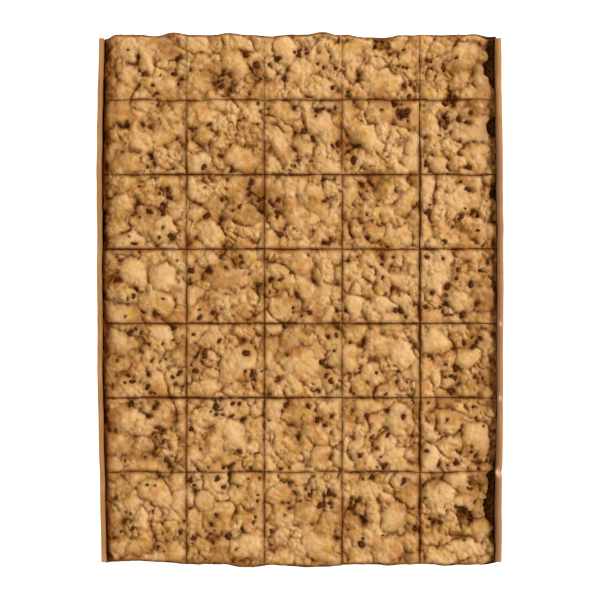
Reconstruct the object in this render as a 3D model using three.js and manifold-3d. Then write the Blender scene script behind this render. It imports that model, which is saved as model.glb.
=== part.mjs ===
// Brookie slab: a brownie base under a lumpy chocolate-chip cookie top, cut into five columns and seven
// rows of portions that still lie together in a folded card case, open at both ends.
// Millimetres. +X runs across the slab, +Y along it and +Z up. The origin is at the middle of the
// footprint, on the surface that the case stands on.

import * as THREE from "three";
import { mergeVertices } from "three/addons/utils/BufferGeometryUtils.js";
import Module from "manifold-3d";

const wasm = await Module();
wasm.setup();

const { clamp, lerp, smoothstep, degToRad } = THREE.MathUtils;

// Card case: one board whose two long sides are turned up and folded over double. Both walls bow out
// between the ends, and the +X wall leans out.
const CASE_WIDTH = 310.2;
const CASE_LENGTH = 404;
const CASE_HEIGHT = 29;
const BOARD = 1.7;
const WALL = 2 * BOARD;
const WALL_BOW = 1.5;
const WALL_LEAN = 2.2;
const BOW_STEPS = 8;
const FOLD_SEGMENTS = 6;

// Nicks that the blade left in the +X wall, at the row cuts with these numbers
const NICK_DEPTH = 3.2;
const NICK_WIDTH = 1.3;
const NICK_ROWS = [0, 1, 2];

// Slab and its layers
const CLEARANCE = 0.3;
const WALL_GAP = 0.5;
const SLAB_LOW = WALL_GAP + WALL - CASE_WIDTH / 2;
const SLAB_HIGH = CASE_WIDTH / 2 - WALL_LEAN - WALL - WALL_GAP;
const BROWNIE_HALF_LENGTH = 201.6;
const BROWNIE_BOTTOM = BOARD + CLEARANCE;
const BROWNIE_TOP = BROWNIE_BOTTOM + 13.5;
const SHEET_TOP = BROWNIE_TOP + 6.5;
const LUMP_TOP = BROWNIE_TOP + 11.2;
const LAYER_UNEVEN = 0.4;
const LAYER_WAVE = { across: 46, along: 55, sway: 32, swaying: 0.6 };

// Cuts: the grid of blades sits a little off the slab's middle, and some cuts have opened more than
// others. Their widths run from -X and from -Y.
const PITCH = { x: 60, y: 57.4 };
const CUT_MIDDLE = { x: 2.3, y: 10.9 };
const COLUMN_CUT_WIDTHS = [0.9, 0.9, 0.9, 2.2];
const ROW_CUT_WIDTHS = [0.8, 1.4, 1.3, 1.4, 1.3, 0.9];

// Edges: a ledge of bare brownie along both card walls, and a rounded, wavy rim over both open ends
const LEDGE = 3.4;
const RIM_REACH = 2.4;
const RIM_WAVE = 0.9;
const RIM_WAVES = [
  { length: 61, share: 1, shift: 2 },
  { length: 37, share: 0.7, shift: -1 },
];
const RIM_ROUND = 4;
const RIM_DROP = 5.5;

// Dough lumps that stand out, row by row from +Y: x, y, half length, half width and turn in degrees
const GREAT_LUMPS = [
  [-134, 193, 14.5, 10.5, 20],
  [-77, 168, 11.5, 10, 90],
  [-52, 184, 18, 12.5, -58],
  [18, 163, 14, 9.5, 15],
  [63, 166, 18, 13, 0],
  [128, 188, 16, 12.5, 25],
  [-123, 122, 10.5, 8, -15],
  [-135, 105, 15, 9, -20],
  [-46, 108, 15.5, 12, 0],
  [-12, 144, 12.5, 10, -20],
  [-14, 118, 18.5, 8, -60],
  [50, 126, 19.5, 10.5, -38],
  [61, 145, 11.5, 10.5, 0],
  [101, 133, 16.5, 10.5, -45],
  [131, 132, 19, 16, 0],
  [-133, 45, 15.5, 8.5, 5],
  [-70, 52, 13.5, 11.5, -60],
  [-3, 66, 20, 8.5, -55],
  [10, 83, 12, 10, 20],
  [77, 49, 14, 10, -10],
  [122, 76, 22, 16, 20],
  [-132, 23, 15.5, 14.5, 0],
  [-107, 16, 12.5, 11, 90],
  [-108, -3, 18, 11, -15],
  [-58, 16, 17, 13, 10],
  [42, -3, 11.5, 9.5, 90],
  [64, -4, 12.5, 10.5, -20],
  [-48, -50, 22, 19, 60],
  [-73, -68, 13.5, 8, 5],
  [1, -51, 21, 16, -10],
  [35, -43, 11.5, 11.5, 0],
  [54, -57, 13.5, 9.5, -5],
  [78, -41, 18, 10, -45],
  [104, -32, 12.5, 11.5, -30],
  [129, -45, 11, 10.5, 0],
  [-135, -90, 14.5, 11.5, 0],
  [-52, -104, 20, 11, -40],
  [54, -82, 16, 6.5, 0],
  [77, -93, 15.5, 13, 40],
  [115, -92, 12, 8, 15],
  [134, -107, 19, 11.5, 90],
  [-110, -151, 18, 12, -30],
  [108, -150, 15.5, 13.5, 0],
  [-64, -169, 14.5, 12.5, 30],
  [-15, -167, 11.5, 10.5, -60],
  [73, -169, 12, 11.5, 0],
  [-123, -190, 13.5, 10, 10],
  [-40, -190, 17.5, 12.5, 0],
  [15, -192, 17.5, 11.5, -30],
  [127, -192, 21.5, 8.5, 4],
];

// Random lumps fill the rest, the largest first: least and most radius, and how many places are tried
const LUMP_SIZES = [
  { least: 10, most: 14, tries: 700 },
  { least: 6.5, most: 10, tries: 1600 },
  { least: 4, most: 6.5, tries: 3200 },
];
const LUMP_SEED = 35;
const LUMP_CROWDING = 0.62;
const LUMP_STRETCH = 0.45;
const LUMP_UNEVEN = 1.9;
const LUMP_FULL_RADIUS = 12;
const LUMP_SMALL_DROP = 0.16;
const LUMP_CROWN = 0.36;
const LUMP_SHOULDER = 2.4;

// Gaps in the dough where the brownie below is bare, and the share of each that is flat
const BARE_SPOTS = [
  { x: 117, y: 156, radius: 6 },
  { x: 79, y: 145, radius: 5 },
  { x: 125, y: -166, radius: 7 },
  { x: 61, y: 199, radius: 8 },
  { x: 145, y: 197, radius: 7 },
  { x: 146, y: -199, radius: 5 },
  { x: -148, y: -199, radius: 5 },
];
const BARE_FLAT = 0.45;

// The largest chocolate chips, sunk in the dough and spread over each portion, as six-sided drops
const CHIPS_PER_PORTION = 3;
const CHIP_SEED = 11;
const CHIP_SIDES = 6;
const CHIP_RADIUS = { least: 1.6, most: 2 };
const CHIP_SUNK = 0.2;
const CHIP_HEIGHT = 1.1;
const CHIP_SHOULDER = 0.72;
const CHIP_TIP = 1.35;

// Facets of a portion's top
const CELLS = 10;
const LONGEST_CELL = 7;
const SAME_POINT = 1e-3;

const cookieDough = new THREE.MeshStandardMaterial({ color: 0xba8852, roughness: 0.85, metalness: 0 });
const kraftCard = new THREE.MeshStandardMaterial({ color: 0xb98a5c, roughness: 0.8, metalness: 0 });

/** A repeatable stream of numbers from 0 to 1. */
function randomStream(seed) {
  let state = seed;
  return () => {
    state = (state * 16807) % 2147483647;
    return state / 2147483647;
  };
}

/** The places of some cuts along one axis, from low to high. */
function cutLines(count, axis) {
  return Array.from({ length: count }, (_, i) => CUT_MIDDLE[axis] + (i - (count - 1) / 2) * PITCH[axis]);
}

const columnCuts = cutLines(COLUMN_CUT_WIDTHS.length, "x");
const rowCuts = cutLines(ROW_CUT_WIDTHS.length, "y");

/** How far along a wave of some length a distance comes, in radians. */
function phase(distance, length) {
  return (2 * Math.PI * distance) / length;
}

/** The slow unevenness of a layer, from -1 to 1. */
function unevenness(x, y) {
  const { across, along, sway, swaying } = LAYER_WAVE;
  const shift = swaying * Math.sin(phase(y, sway));
  return Math.sin(phase(x, across) + shift) * Math.cos(phase(y, along));
}

/** How far the cookie rim of an open end reaches along the slab, as a wave across it. */
function rimReach(x, end) {
  let wave = 0;
  for (const { length, share, shift } of RIM_WAVES) {
    wave += share * Math.sin(phase(x, length) + shift * end);
  }
  return BROWNIE_HALF_LENGTH + RIM_REACH + RIM_WAVE * wave;
}

/** All dough lumps: the ones that stand out, then random ones that keep a share of their radii apart. */
function scatterLumps() {
  const random = randomStream(LUMP_SEED);
  const lumps = [];
  const place = (x, y, long, wide, turn) => {
    const radius = Math.sqrt(long * wide);
    const smaller = Math.max(0, LUMP_FULL_RADIUS - radius);
    const top = LUMP_TOP + LUMP_UNEVEN * (random() - 0.5) - LUMP_SMALL_DROP * smaller;
    lumps.push({ x, y, long, wide, turn, radius, top });
  };
  for (const [x, y, long, wide, turn] of GREAT_LUMPS) {
    place(x, y, long, wide, degToRad(turn));
  }
  for (const { least, most, tries } of LUMP_SIZES) {
    for (let i = 0; i < tries; i++) {
      const x = lerp(SLAB_LOW + LEDGE, SLAB_HIGH - LEDGE, random());
      const y = (2 * random() - 1) * BROWNIE_HALF_LENGTH;
      const radius = lerp(least, most, random());
      const stretch = 1 + LUMP_STRETCH * random();
      const turn = Math.PI * random();
      const clear = lumps.every(
        (other) => Math.hypot(x - other.x, y - other.y) >= LUMP_CROWDING * (radius + other.radius),
      );
      if (clear) place(x, y, radius * stretch, radius / stretch, turn);
    }
  }
  return lumps;
}

const lumps = scatterLumps();

/** Height of one lump's dome at a point, falling away from its crown. */
function domeHeight(lump, x, y) {
  const cos = Math.cos(lump.turn);
  const sin = Math.sin(lump.turn);
  const along = ((x - lump.x) * cos + (y - lump.y) * sin) / lump.long;
  const across = ((y - lump.y) * cos - (x - lump.x) * sin) / lump.wide;
  return lump.top - LUMP_CROWN * lump.radius * Math.hypot(along, across) ** LUMP_SHOULDER;
}

/** Height of the brownie layer's top. */
function brownieTop(x, y) {
  return BROWNIE_TOP + LAYER_UNEVEN * unevenness(y, x);
}

/** Height of the slab's top: the highest lump, bare spots let into it, and the edges brought down. */
function slabTop(x, y) {
  const brownie = brownieTop(x, y);
  let height = SHEET_TOP + LAYER_UNEVEN * unevenness(x, y);
  for (const lump of lumps) {
    height = Math.max(height, domeHeight(lump, x, y));
  }
  for (const spot of BARE_SPOTS) {
    const away = Math.hypot(x - spot.x, y - spot.y) / spot.radius;
    height = lerp(brownie, height, smoothstep(away, BARE_FLAT, 1));
  }
  const fromWall = Math.min(x - SLAB_LOW, SLAB_HIGH - x);
  const fromRim = rimReach(x, Math.sign(y)) - Math.abs(y);
  height -= RIM_DROP * clamp(1 - fromRim / RIM_ROUND, 0, 1) ** 2;
  return lerp(brownie, height, smoothstep(fromWall, 0, LEDGE));
}

/** The points and triangles of one closed body while it is put together. */
class Shell {
  points = [];
  triangles = [];

  /** Adds a point and gives its number. */
  add(x, y, z) {
    return this.points.push(new THREE.Vector3(x, y, z)) - 1;
  }

  /** Adds a triangle of three point numbers, turned to face along a direction. */
  face(a, b, c, outward) {
    const [p, q, r] = [a, b, c].map((number) => this.points[number]);
    const normal = q.clone().sub(p).cross(r.clone().sub(p));
    this.triangles.push(normal.dot(outward) > 0 ? [a, b, c] : [a, c, b]);
  }

  /** Adds a four-cornered facet, split along its flatter diagonal. */
  facet(a, b, c, d, outward) {
    const rise = (from, to) => Math.abs(this.points[from].z - this.points[to].z);
    const [first, second] = rise(a, c) < rise(b, d) ? [[a, b, c], [a, c, d]] : [[a, b, d], [b, c, d]];
    this.face(...first, outward);
    this.face(...second, outward);
  }

  /** Closes an upright side, from a chain of points along its top down to feet under every second one. */
  skirt(chain, feet, outward) {
    const last = chain.length - 1;
    for (let k = 0; k < last; k++) {
      this.face(feet[Math.ceil(k / 2)], chain[k], chain[k + 1], outward);
    }
    for (let k = 0; k + 1 < feet.length; k++) {
      this.face(feet[k], chain[Math.min(2 * k + 1, last)], feet[k + 1], outward);
    }
  }

  /** Fills the flat ring between an outer and an inner loop of point numbers, seen from above. */
  fillRing(outer, inner, outward) {
    const [contour, hole] = [outer, inner].map((loop) =>
      loop.map((number) => new THREE.Vector2(this.points[number].x, this.points[number].y)),
    );
    const loops = [...outer, ...inner];
    for (const corners of THREE.ShapeUtils.triangulateShape(contour, [hole])) {
      this.face(...corners.map((corner) => loops[corner]), outward);
    }
  }

  /** The body as a three.js geometry. */
  geometry() {
    const geometry = new THREE.BufferGeometry().setFromPoints(this.points).setIndex(this.triangles.flat());
    geometry.computeVertexNormals();
    return geometry;
  }
}

/** A closed geometry as a solid that can be joined and cut. */
function solidOf(geometry) {
  const bare = geometry.clone().deleteAttribute("normal").deleteAttribute("uv");
  const merged = mergeVertices(bare, SAME_POINT);
  const vertProperties = merged.getAttribute("position").array;
  const triVerts = Uint32Array.from(merged.index.array);
  return new wasm.Manifold(new wasm.Mesh({ numProp: 3, vertProperties, triVerts }));
}

/** A solid as a geometry. */
function geometryOf(solid) {
  const { vertProperties, triVerts } = solid.getMesh();
  const geometry = new THREE.BufferGeometry();
  geometry.setAttribute("position", new THREE.BufferAttribute(vertProperties, 3));
  geometry.setIndex(new THREE.BufferAttribute(triVerts, 1));
  geometry.computeVertexNormals();
  return geometry;
}

/** One portion's span along an axis, between two cuts or between a cut and the slab's own edge. */
function spanBetween(index, cuts, widths, lowest, highest) {
  const openLow = index === 0;
  const openHigh = index === cuts.length;
  const low = openLow ? lowest : cuts[index - 1] + widths[index - 1] / 2;
  const high = openHigh ? highest : cuts[index] - widths[index] / 2;
  return { low, high, openLow, openHigh };
}

/** Grid lines over a span, with one narrow cell along the slab's own edge. */
function gridLines({ low, high, openLow, openHigh }, edgeCell) {
  const from = openLow ? low + edgeCell : low;
  const to = openHigh ? high - edgeCell : high;
  const cells = Math.max(CELLS - openLow - openHigh, Math.ceil((to - from) / LONGEST_CELL));
  const lines = Array.from({ length: cells + 1 }, (_, i) => lerp(from, to, i / cells));
  if (openLow) lines.unshift(low);
  if (openHigh) lines.push(high);
  return lines;
}

/** Every second number from 0 up to a last one, and the last one itself. */
function everySecond(last) {
  const numbers = Array.from({ length: Math.ceil(last / 2) }, (_, k) => 2 * k);
  return [...numbers, last];
}

const chipRandom = randomStream(CHIP_SEED);

/** The cells of a portion's top that hold a chip, one in each strip across it, as a set of "i,j" words. */
function chipCells(last) {
  const strip = (last.x - 2) / CHIPS_PER_PORTION;
  const cells = Array.from({ length: CHIPS_PER_PORTION }, (_, k) => {
    const i = 1 + Math.floor(strip * (k + chipRandom()));
    const j = 1 + Math.floor((last.y - 2) * chipRandom());
    return `${i},${j}`;
  });
  return new Set(cells);
}

/** A chip that stands up out of one cell: a ring of feet in the cell, a smaller ring above them and a tip. */
function raiseChip(shell, cell, up) {
  const corners = cell.map((number) => shell.points[number]);
  const [southWest, , northEast] = corners;
  const middle = new THREE.Vector3().lerpVectors(southWest, northEast, 0.5);
  const radius = lerp(CHIP_RADIUS.least, CHIP_RADIUS.most, chipRandom());
  const turn = Math.PI * chipRandom();
  const doughHeight = (x, y) => {
    const across = (x - southWest.x) / (northEast.x - southWest.x);
    const along = (y - southWest.y) / (northEast.y - southWest.y);
    const south = lerp(corners[0].z, corners[1].z, across);
    return lerp(south, lerp(corners[3].z, corners[2].z, across), along);
  };
  const ring = (share, rise) =>
    Array.from({ length: CHIP_SIDES }, (_, k) => {
      const angle = turn + (2 * Math.PI * k) / CHIP_SIDES;
      const x = middle.x + share * radius * Math.cos(angle);
      const y = middle.y + share * radius * Math.sin(angle);
      return shell.add(x, y, doughHeight(x, y) + rise);
    });
  const feet = ring(1, -CHIP_SUNK);
  const shoulder = ring(CHIP_SHOULDER, CHIP_HEIGHT);
  const tip = shell.add(middle.x, middle.y, doughHeight(middle.x, middle.y) + CHIP_TIP * CHIP_HEIGHT);
  shell.fillRing(cell, feet, up);
  for (let k = 0; k < CHIP_SIDES; k++) {
    const next = (k + 1) % CHIP_SIDES;
    shell.facet(feet[k], feet[next], shoulder[next], shoulder[k], up);
    shell.face(shoulder[k], shoulder[next], tip, up);
  }
}

/** One portion as a closed body: a relief top with its chips, four upright sides and a flat bottom. */
function portionBody(across, along) {
  const shell = new Shell();
  const up = new THREE.Vector3(0, 0, 1);
  const down = new THREE.Vector3(0, 0, -1);
  const xs = gridLines(across, LEDGE);
  const ys = gridLines(along, RIM_ROUND);
  const last = { x: xs.length - 1, y: ys.length - 1 };

  const top = ys.map((line, j) => {
    const open = (along.openLow && j === 0) || (along.openHigh && j === last.y);
    const end = Math.sign(line);
    return xs.map((x) => {
      const y = open ? end * rimReach(x, end) : line;
      return shell.add(x, y, slabTop(x, y));
    });
  });
  const withChip = chipCells(last);
  for (let j = 0; j < last.y; j++) {
    for (let i = 0; i < last.x; i++) {
      const cell = [top[j][i], top[j][i + 1], top[j + 1][i + 1], top[j + 1][i]];
      if (withChip.has(`${i},${j}`)) raiseChip(shell, cell, up);
      else shell.facet(...cell, up);
    }
  }

  const feet = new Map();
  const foot = (i, j) => {
    const place = `${i},${j}`;
    if (!feet.has(place)) feet.set(place, shell.add(xs[i], ys[j], BROWNIE_BOTTOM));
    return feet.get(place);
  };
  const middle = shell.add((across.low + across.high) / 2, (along.low + along.high) / 2, BROWNIE_BOTTOM);
  const close = (chain, chainFeet, outward) => {
    shell.skirt(chain, chainFeet, outward);
    for (let k = 0; k + 1 < chainFeet.length; k++) {
      shell.face(middle, chainFeet[k], chainFeet[k + 1], down);
    }
  };
  for (const [j, facing] of [[0, -1], [last.y, 1]]) {
    const chainFeet = everySecond(last.x).map((i) => foot(i, j));
    close(top[j], chainFeet, new THREE.Vector3(0, facing, 0));
  }
  for (const [i, facing] of [[0, -1], [last.x, 1]]) {
    const chainFeet = everySecond(last.y).map((j) => foot(i, j));
    close(top.map((row) => row[i]), chainFeet, new THREE.Vector3(facing, 0, 0));
  }
  return shell.geometry();
}

/** One portion, as a named mesh. */
function buildPortion(column, row) {
  const across = spanBetween(column, columnCuts, COLUMN_CUT_WIDTHS, SLAB_LOW, SLAB_HIGH);
  const along = spanBetween(row, rowCuts, ROW_CUT_WIDTHS, -BROWNIE_HALF_LENGTH, BROWNIE_HALF_LENGTH);
  const mesh = new THREE.Mesh(portionBody(across, along), cookieDough);
  mesh.name = `portion_r${rowCuts.length + 1 - row}_c${column + 1}`;
  return mesh;
}

/** Outline of the case across the slab: a flat base between two walls with a round fold on top. */
function caseOutline() {
  const half = CASE_WIDTH / 2;
  const inner = half - WALL;
  const fold = WALL / 2;
  const shoulder = CASE_HEIGHT - fold;
  const outline = new THREE.Shape();
  outline.moveTo(-half, 0);
  outline.lineTo(half, 0);
  outline.lineTo(half, shoulder);
  outline.absarc(half - fold, shoulder, fold, 0, Math.PI, false);
  outline.lineTo(inner, BOARD);
  outline.lineTo(-inner, BOARD);
  outline.lineTo(-inner, shoulder);
  outline.absarc(-half + fold, shoulder, fold, 0, Math.PI, false);
  outline.closePath();
  return outline;
}

/** The case along the slab, with its bowed walls, and the +X wall leaning out and nicked by the blade. */
function buildCase() {
  const board = new THREE.ExtrudeGeometry(caseOutline(), {
    depth: CASE_LENGTH,
    steps: BOW_STEPS,
    curveSegments: FOLD_SEGMENTS,
    bevelEnabled: false,
  });
  board.rotateX(Math.PI / 2).translate(0, CASE_LENGTH / 2, 0);
  const position = board.getAttribute("position");
  for (let i = 0; i < position.count; i++) {
    const x = position.getX(i);
    const bow = WALL_BOW * (1 - (position.getY(i) / (CASE_LENGTH / 2)) ** 2);
    const lean = x > 0 ? WALL_LEAN * (1 - position.getZ(i) / CASE_HEIGHT) : 0;
    position.setX(i, x + Math.sign(x) * bow - lean);
  }
  let solid = solidOf(board);
  for (const row of NICK_ROWS) {
    const nick = new THREE.BoxGeometry(4 * WALL, NICK_WIDTH, 2 * NICK_DEPTH);
    nick.translate(CASE_WIDTH / 2 - WALL / 2, rowCuts[row], CASE_HEIGHT);
    solid = solid.subtract(solidOf(nick));
  }
  const mesh = new THREE.Mesh(geometryOf(solid), kraftCard);
  mesh.name = "case";
  return mesh;
}

const brookie = new THREE.Group();
brookie.add(buildCase());
for (let row = rowCuts.length; row >= 0; row--) {
  for (let column = 0; column <= columnCuts.length; column++) {
    brookie.add(buildPortion(column, row));
  }
}

export default brookie;
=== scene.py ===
"""Looks of a brookie slab: a lumpy cookie top over brownie, cut into portions, in its folded card case."""

import logging
import math
from collections.abc import Iterator
from dataclasses import dataclass, field
from enum import Enum

import bpy
import numpy as np
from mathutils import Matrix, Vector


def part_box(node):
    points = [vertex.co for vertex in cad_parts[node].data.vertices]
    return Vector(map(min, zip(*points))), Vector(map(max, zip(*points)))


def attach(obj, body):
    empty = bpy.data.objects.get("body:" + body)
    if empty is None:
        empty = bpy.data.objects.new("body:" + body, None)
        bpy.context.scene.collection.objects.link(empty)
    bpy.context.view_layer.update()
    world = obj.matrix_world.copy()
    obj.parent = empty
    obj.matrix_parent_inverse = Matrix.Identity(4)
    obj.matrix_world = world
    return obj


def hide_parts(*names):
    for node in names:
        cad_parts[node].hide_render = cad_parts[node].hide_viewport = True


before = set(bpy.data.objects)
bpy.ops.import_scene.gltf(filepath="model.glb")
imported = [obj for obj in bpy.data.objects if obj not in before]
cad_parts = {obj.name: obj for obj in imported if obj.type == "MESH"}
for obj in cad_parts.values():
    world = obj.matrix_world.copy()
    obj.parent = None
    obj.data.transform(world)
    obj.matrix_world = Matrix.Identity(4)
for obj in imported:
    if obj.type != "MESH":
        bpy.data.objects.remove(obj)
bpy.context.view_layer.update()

LOG = logging.getLogger("brookie")
Array = np.ndarray
Socket = bpy.types.NodeSocket
Span = tuple[float, float]
Triple = tuple[float, float, float]
Places = tuple[Array, Array]
Waves = tuple[Span, ...]

MM = 0.001
BODY = "root"
ROWS = 7
COLUMNS = 5

# The case's left wall comes in over this stretch towards -Y, and the slab with it
SLANT_SPAN = (20, 200)

# Sockets of a colour mix node, which shares its names between several kinds of value
MIX_FACTOR, MIX_A, MIX_B, MIX_RESULT = 0, 6, 7, 2


class Slot(Enum):
    """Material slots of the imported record."""

    COOKIE = "cookie"
    BROWNIE = "brownie"
    CHOCOLATE = "chocolate"
    CARD = "card"


class Edge(Enum):
    """What bounds a portion on one side."""

    CUT = "cut"
    WALL = "wall"
    OPEN = "open"


class Side(Enum):
    """A portion's sides as seen from above, each with the axis it faces along and which way."""

    WEST = (0, -1)
    EAST = (0, 1)
    SOUTH = (1, -1)
    NORTH = (1, 1)

    @property
    def axis(self) -> int:
        """0 for a side that faces along x, 1 for one that faces along y."""
        return self.value[0]

    @property
    def sign(self) -> int:
        """1 for a side that faces up its axis, -1 for one that faces down it."""
        return self.value[1]


def linear(colour: str) -> tuple[float, float, float, float]:
    """Turns an sRGB hex colour into the linear colour that a shader takes.

    Args:
        colour: Six hex digits after a #.

    Returns:
        Red, green, blue and full alpha.
    """
    shares = [int(colour[i:i + 2], 16) / 255 for i in (1, 3, 5)]
    curve = [s / 12.92 if s <= 0.04045 else ((s + 0.055) / 1.055) ** 2.4 for s in shares]
    return (*curve, 1.0)


def per_mm(length: float) -> float:
    """Scale of a texture on metres whose features are this many millimetres long."""
    return 1 / (length * MM)


def smoothstep(value: Array, low: float, high: float) -> Array:
    """Eases from 0 at low to 1 at high."""
    share = np.clip((value - low) / (high - low), 0, 1)
    return share * share * (3 - 2 * share)


def blend(low: Array, high: Array, share: Array) -> Array:
    """Goes straight from low to high as share goes from 0 to 1."""
    return low + (high - low) * share


def fall(away: Array, width: float, power: float = 2) -> Array:
    """Falls from 1 towards 0 with distance, and is about a third at the width."""
    return np.exp(-(away / width) ** power)


def add_node(tree: bpy.types.NodeTree, kind: str, settings: dict[str, object] | None = None,
             values: dict[str | int, object] | None = None,
             links: dict[str | int, Socket] | None = None) -> bpy.types.Node:
    """Adds one node to a shader or geometry tree.

    Args:
        tree: The tree that gets the node.
        kind: The node's type name.
        settings: The node's own properties.
        values: What unlinked inputs hold, by socket name or number.
        links: The output socket that feeds each input, by socket name or number.

    Returns:
        The new node.
    """
    node = tree.nodes.new(kind)
    for name, value in (settings or {}).items():
        setattr(node, name, value)
    for name, value in (values or {}).items():
        node.inputs[name].default_value = value
    for name, source in (links or {}).items():
        tree.links.new(source, node.inputs[name])
    return node


def new_material(name: str) -> tuple[bpy.types.Material, bpy.types.NodeTree, Socket]:
    """Starts a material.

    Args:
        name: The real material's name.

    Returns:
        The material, its tree and the place on the object, in metres, that patterns are drawn by.
    """
    material = bpy.data.materials.new(name)
    material.use_nodes = True
    tree = material.node_tree
    tree.nodes.clear()
    return material, tree, add_node(tree, "ShaderNodeTexCoord").outputs["Object"]


def range_ends(source: Span, target: Span) -> dict[str, float]:
    """What a range's sockets hold, so that the source's ends become the target's."""
    return {"From Min": source[0], "From Max": source[1], "To Min": target[0], "To Max": target[1]}


class Paint:
    """Colours laid over one another in a material's tree."""

    def __init__(self, tree: bpy.types.NodeTree, colour: str) -> None:
        """Starts from one even colour, a hex value."""
        self.tree = tree
        self.colour: Socket | str = colour

    def lay(self, colour: Socket | str, share: Socket, source: Span = (0, 1),
            strength: Span = (0, 1)) -> "Paint":
        """Lays a colour over the rest, as far as a value goes through a range.

        Args:
            colour: The new colour, a socket or a hex value.
            share: The value that says where it shows.
            source: The range's two ends.
            strength: How much of the colour shows at those ends.

        Returns:
            The paint itself.
        """
        reach = add_node(self.tree, "ShaderNodeMapRange", {"clamp": True}, range_ends(source, strength),
                         {"Value": share})
        ends = {MIX_A: self.colour, MIX_B: colour}
        values = {i: linear(end) for i, end in ends.items() if isinstance(end, str)}
        links = {i: end for i, end in ends.items() if not isinstance(end, str)}
        node = add_node(self.tree, "ShaderNodeMix", {"data_type": "RGBA"}, values,
                        {MIX_FACTOR: reach.outputs["Result"], **links})
        self.colour = node.outputs[MIX_RESULT]
        return self


@dataclass(frozen=True)
class Sheen:
    """How a finish takes light: index of refraction, gloss, roughness and the finest relief's depth."""

    ior: float
    gloss: float
    rough: Span
    relief: float
    depth: float
    grain_range: Span = (0.3, 0.7)

    def end(self, material: bpy.types.Material, colour: Socket, grain: Socket, height: Socket) -> None:
        """Ends a material in its shader.

        Args:
            material: The material.
            colour: Its colour.
            grain: The pattern that its roughness follows.
            height: The pattern that stands out from it.
        """
        tree = material.node_tree
        rough = add_node(tree, "ShaderNodeMapRange", {"clamp": True},
                         range_ends(self.grain_range, self.rough), {"Value": grain})
        bump = add_node(tree, "ShaderNodeBump", None, {"Strength": self.relief, "Distance": self.depth * MM},
                        {"Height": height})
        shader = add_node(tree, "ShaderNodeBsdfPrincipled", None,
                          {"IOR": self.ior, "Specular IOR Level": self.gloss},
                          {"Base Color": colour, "Roughness": rough.outputs["Result"],
                           "Normal": bump.outputs["Normal"]})
        add_node(tree, "ShaderNodeOutputMaterial", None, None, {"Surface": shader.outputs["BSDF"]})


def mesh_object(name: str, points: Array, faces: list[list[int]], material: bpy.types.Material,
                layers: dict[str, Array] | None = None, crisp: float = 60) -> bpy.types.Object:
    """Makes a smooth-shaded object at the origin from points in millimetres.

    Args:
        name: The piece's name.
        points: One row of three coordinates for each point.
        faces: Point numbers of each face, counter-clockwise from outside.
        material: The finish.
        layers: Values at the points for the material to read, by name.
        crisp: Edges that turn by more than this many degrees stay sharp.

    Returns:
        The new object, linked to the scene.
    """
    mesh = bpy.data.meshes.new(name)
    mesh.from_pydata((points * MM).tolist(), [], faces)
    for layer, values in (layers or {}).items():
        attribute = mesh.attributes.new(layer, "FLOAT", "POINT")
        attribute.data.foreach_set("value", np.ascontiguousarray(values, np.float32))
    mesh.materials.append(material)
    mesh.shade_smooth()
    mesh.set_sharp_from_angle(angle=math.radians(crisp))
    piece = bpy.data.objects.new(name, mesh)
    bpy.context.scene.collection.objects.link(piece)
    return piece


def declare(piece: bpy.types.Object, slot: Slot, *nodes: str) -> None:
    """Ties a finished piece to the frame.

    Args:
        piece: The piece.
        slot: The record's material slot that it takes its finish from; not used.
        nodes: The solids that it stands for.
    """
    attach(piece, BODY)
    if nodes:
        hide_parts(*nodes)
    LOG.info("%s: %d faces", piece.name, len(piece.data.polygons))


def local_mean(values: Array, reach: int) -> Array:
    """Averages a grid over a square about each of its points.

    Args:
        values: The grid.
        reach: How many points the square goes to each side.

    Returns:
        The averages; past its edge the grid counts as level.
    """
    width = 2 * reach + 1
    for axis, count in enumerate(values.shape):
        sides = [(reach + 1, reach) if a == axis else (0, 0) for a in (0, 1)]
        total = np.cumsum(np.pad(values, sides, mode="edge"), axis)
        upper = np.take(total, range(width, width + count), axis)
        values = (upper - np.take(total, range(count), axis)) / width
    return values


def grid_faces(numbers: Array) -> list[list[int]]:
    """Four-cornered faces over a grid of point numbers that runs along x in each row and up in y.

    Args:
        numbers: The grid of point numbers.

    Returns:
        The faces, seen from above.
    """
    corners = [numbers[:-1, :-1], numbers[:-1, 1:], numbers[1:, 1:], numbers[1:, :-1]]
    return np.stack(corners, axis=-1).reshape(-1, 4).tolist()


def rim_of(numbers: Array) -> Array:
    """Point numbers round the edge of a grid, counter-clockwise from above."""
    return np.concatenate([numbers[0, :-1], numbers[:-1, -1], numbers[-1, :0:-1], numbers[:0:-1, 0]])


def line_of(numbers: Array, side: Side) -> Array:
    """Point numbers along one side of a grid."""
    return numbers.take(-1 if side.sign > 0 else 0, axis=1 - side.axis)


def band_faces(upper: Array, lower: Array) -> list[list[int]]:
    """Faces of the band between two closed loops of point numbers, the second below the first."""
    return np.stack([upper, lower, np.roll(lower, -1), np.roll(upper, -1)], axis=-1).tolist()


def floor_faces(loop: Array, middle: int) -> list[list[int]]:
    """Three-cornered faces that close a loop from below, about a middle point."""
    return np.stack([np.roll(loop, -1), loop, np.full(len(loop), middle)], axis=-1).tolist()


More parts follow.
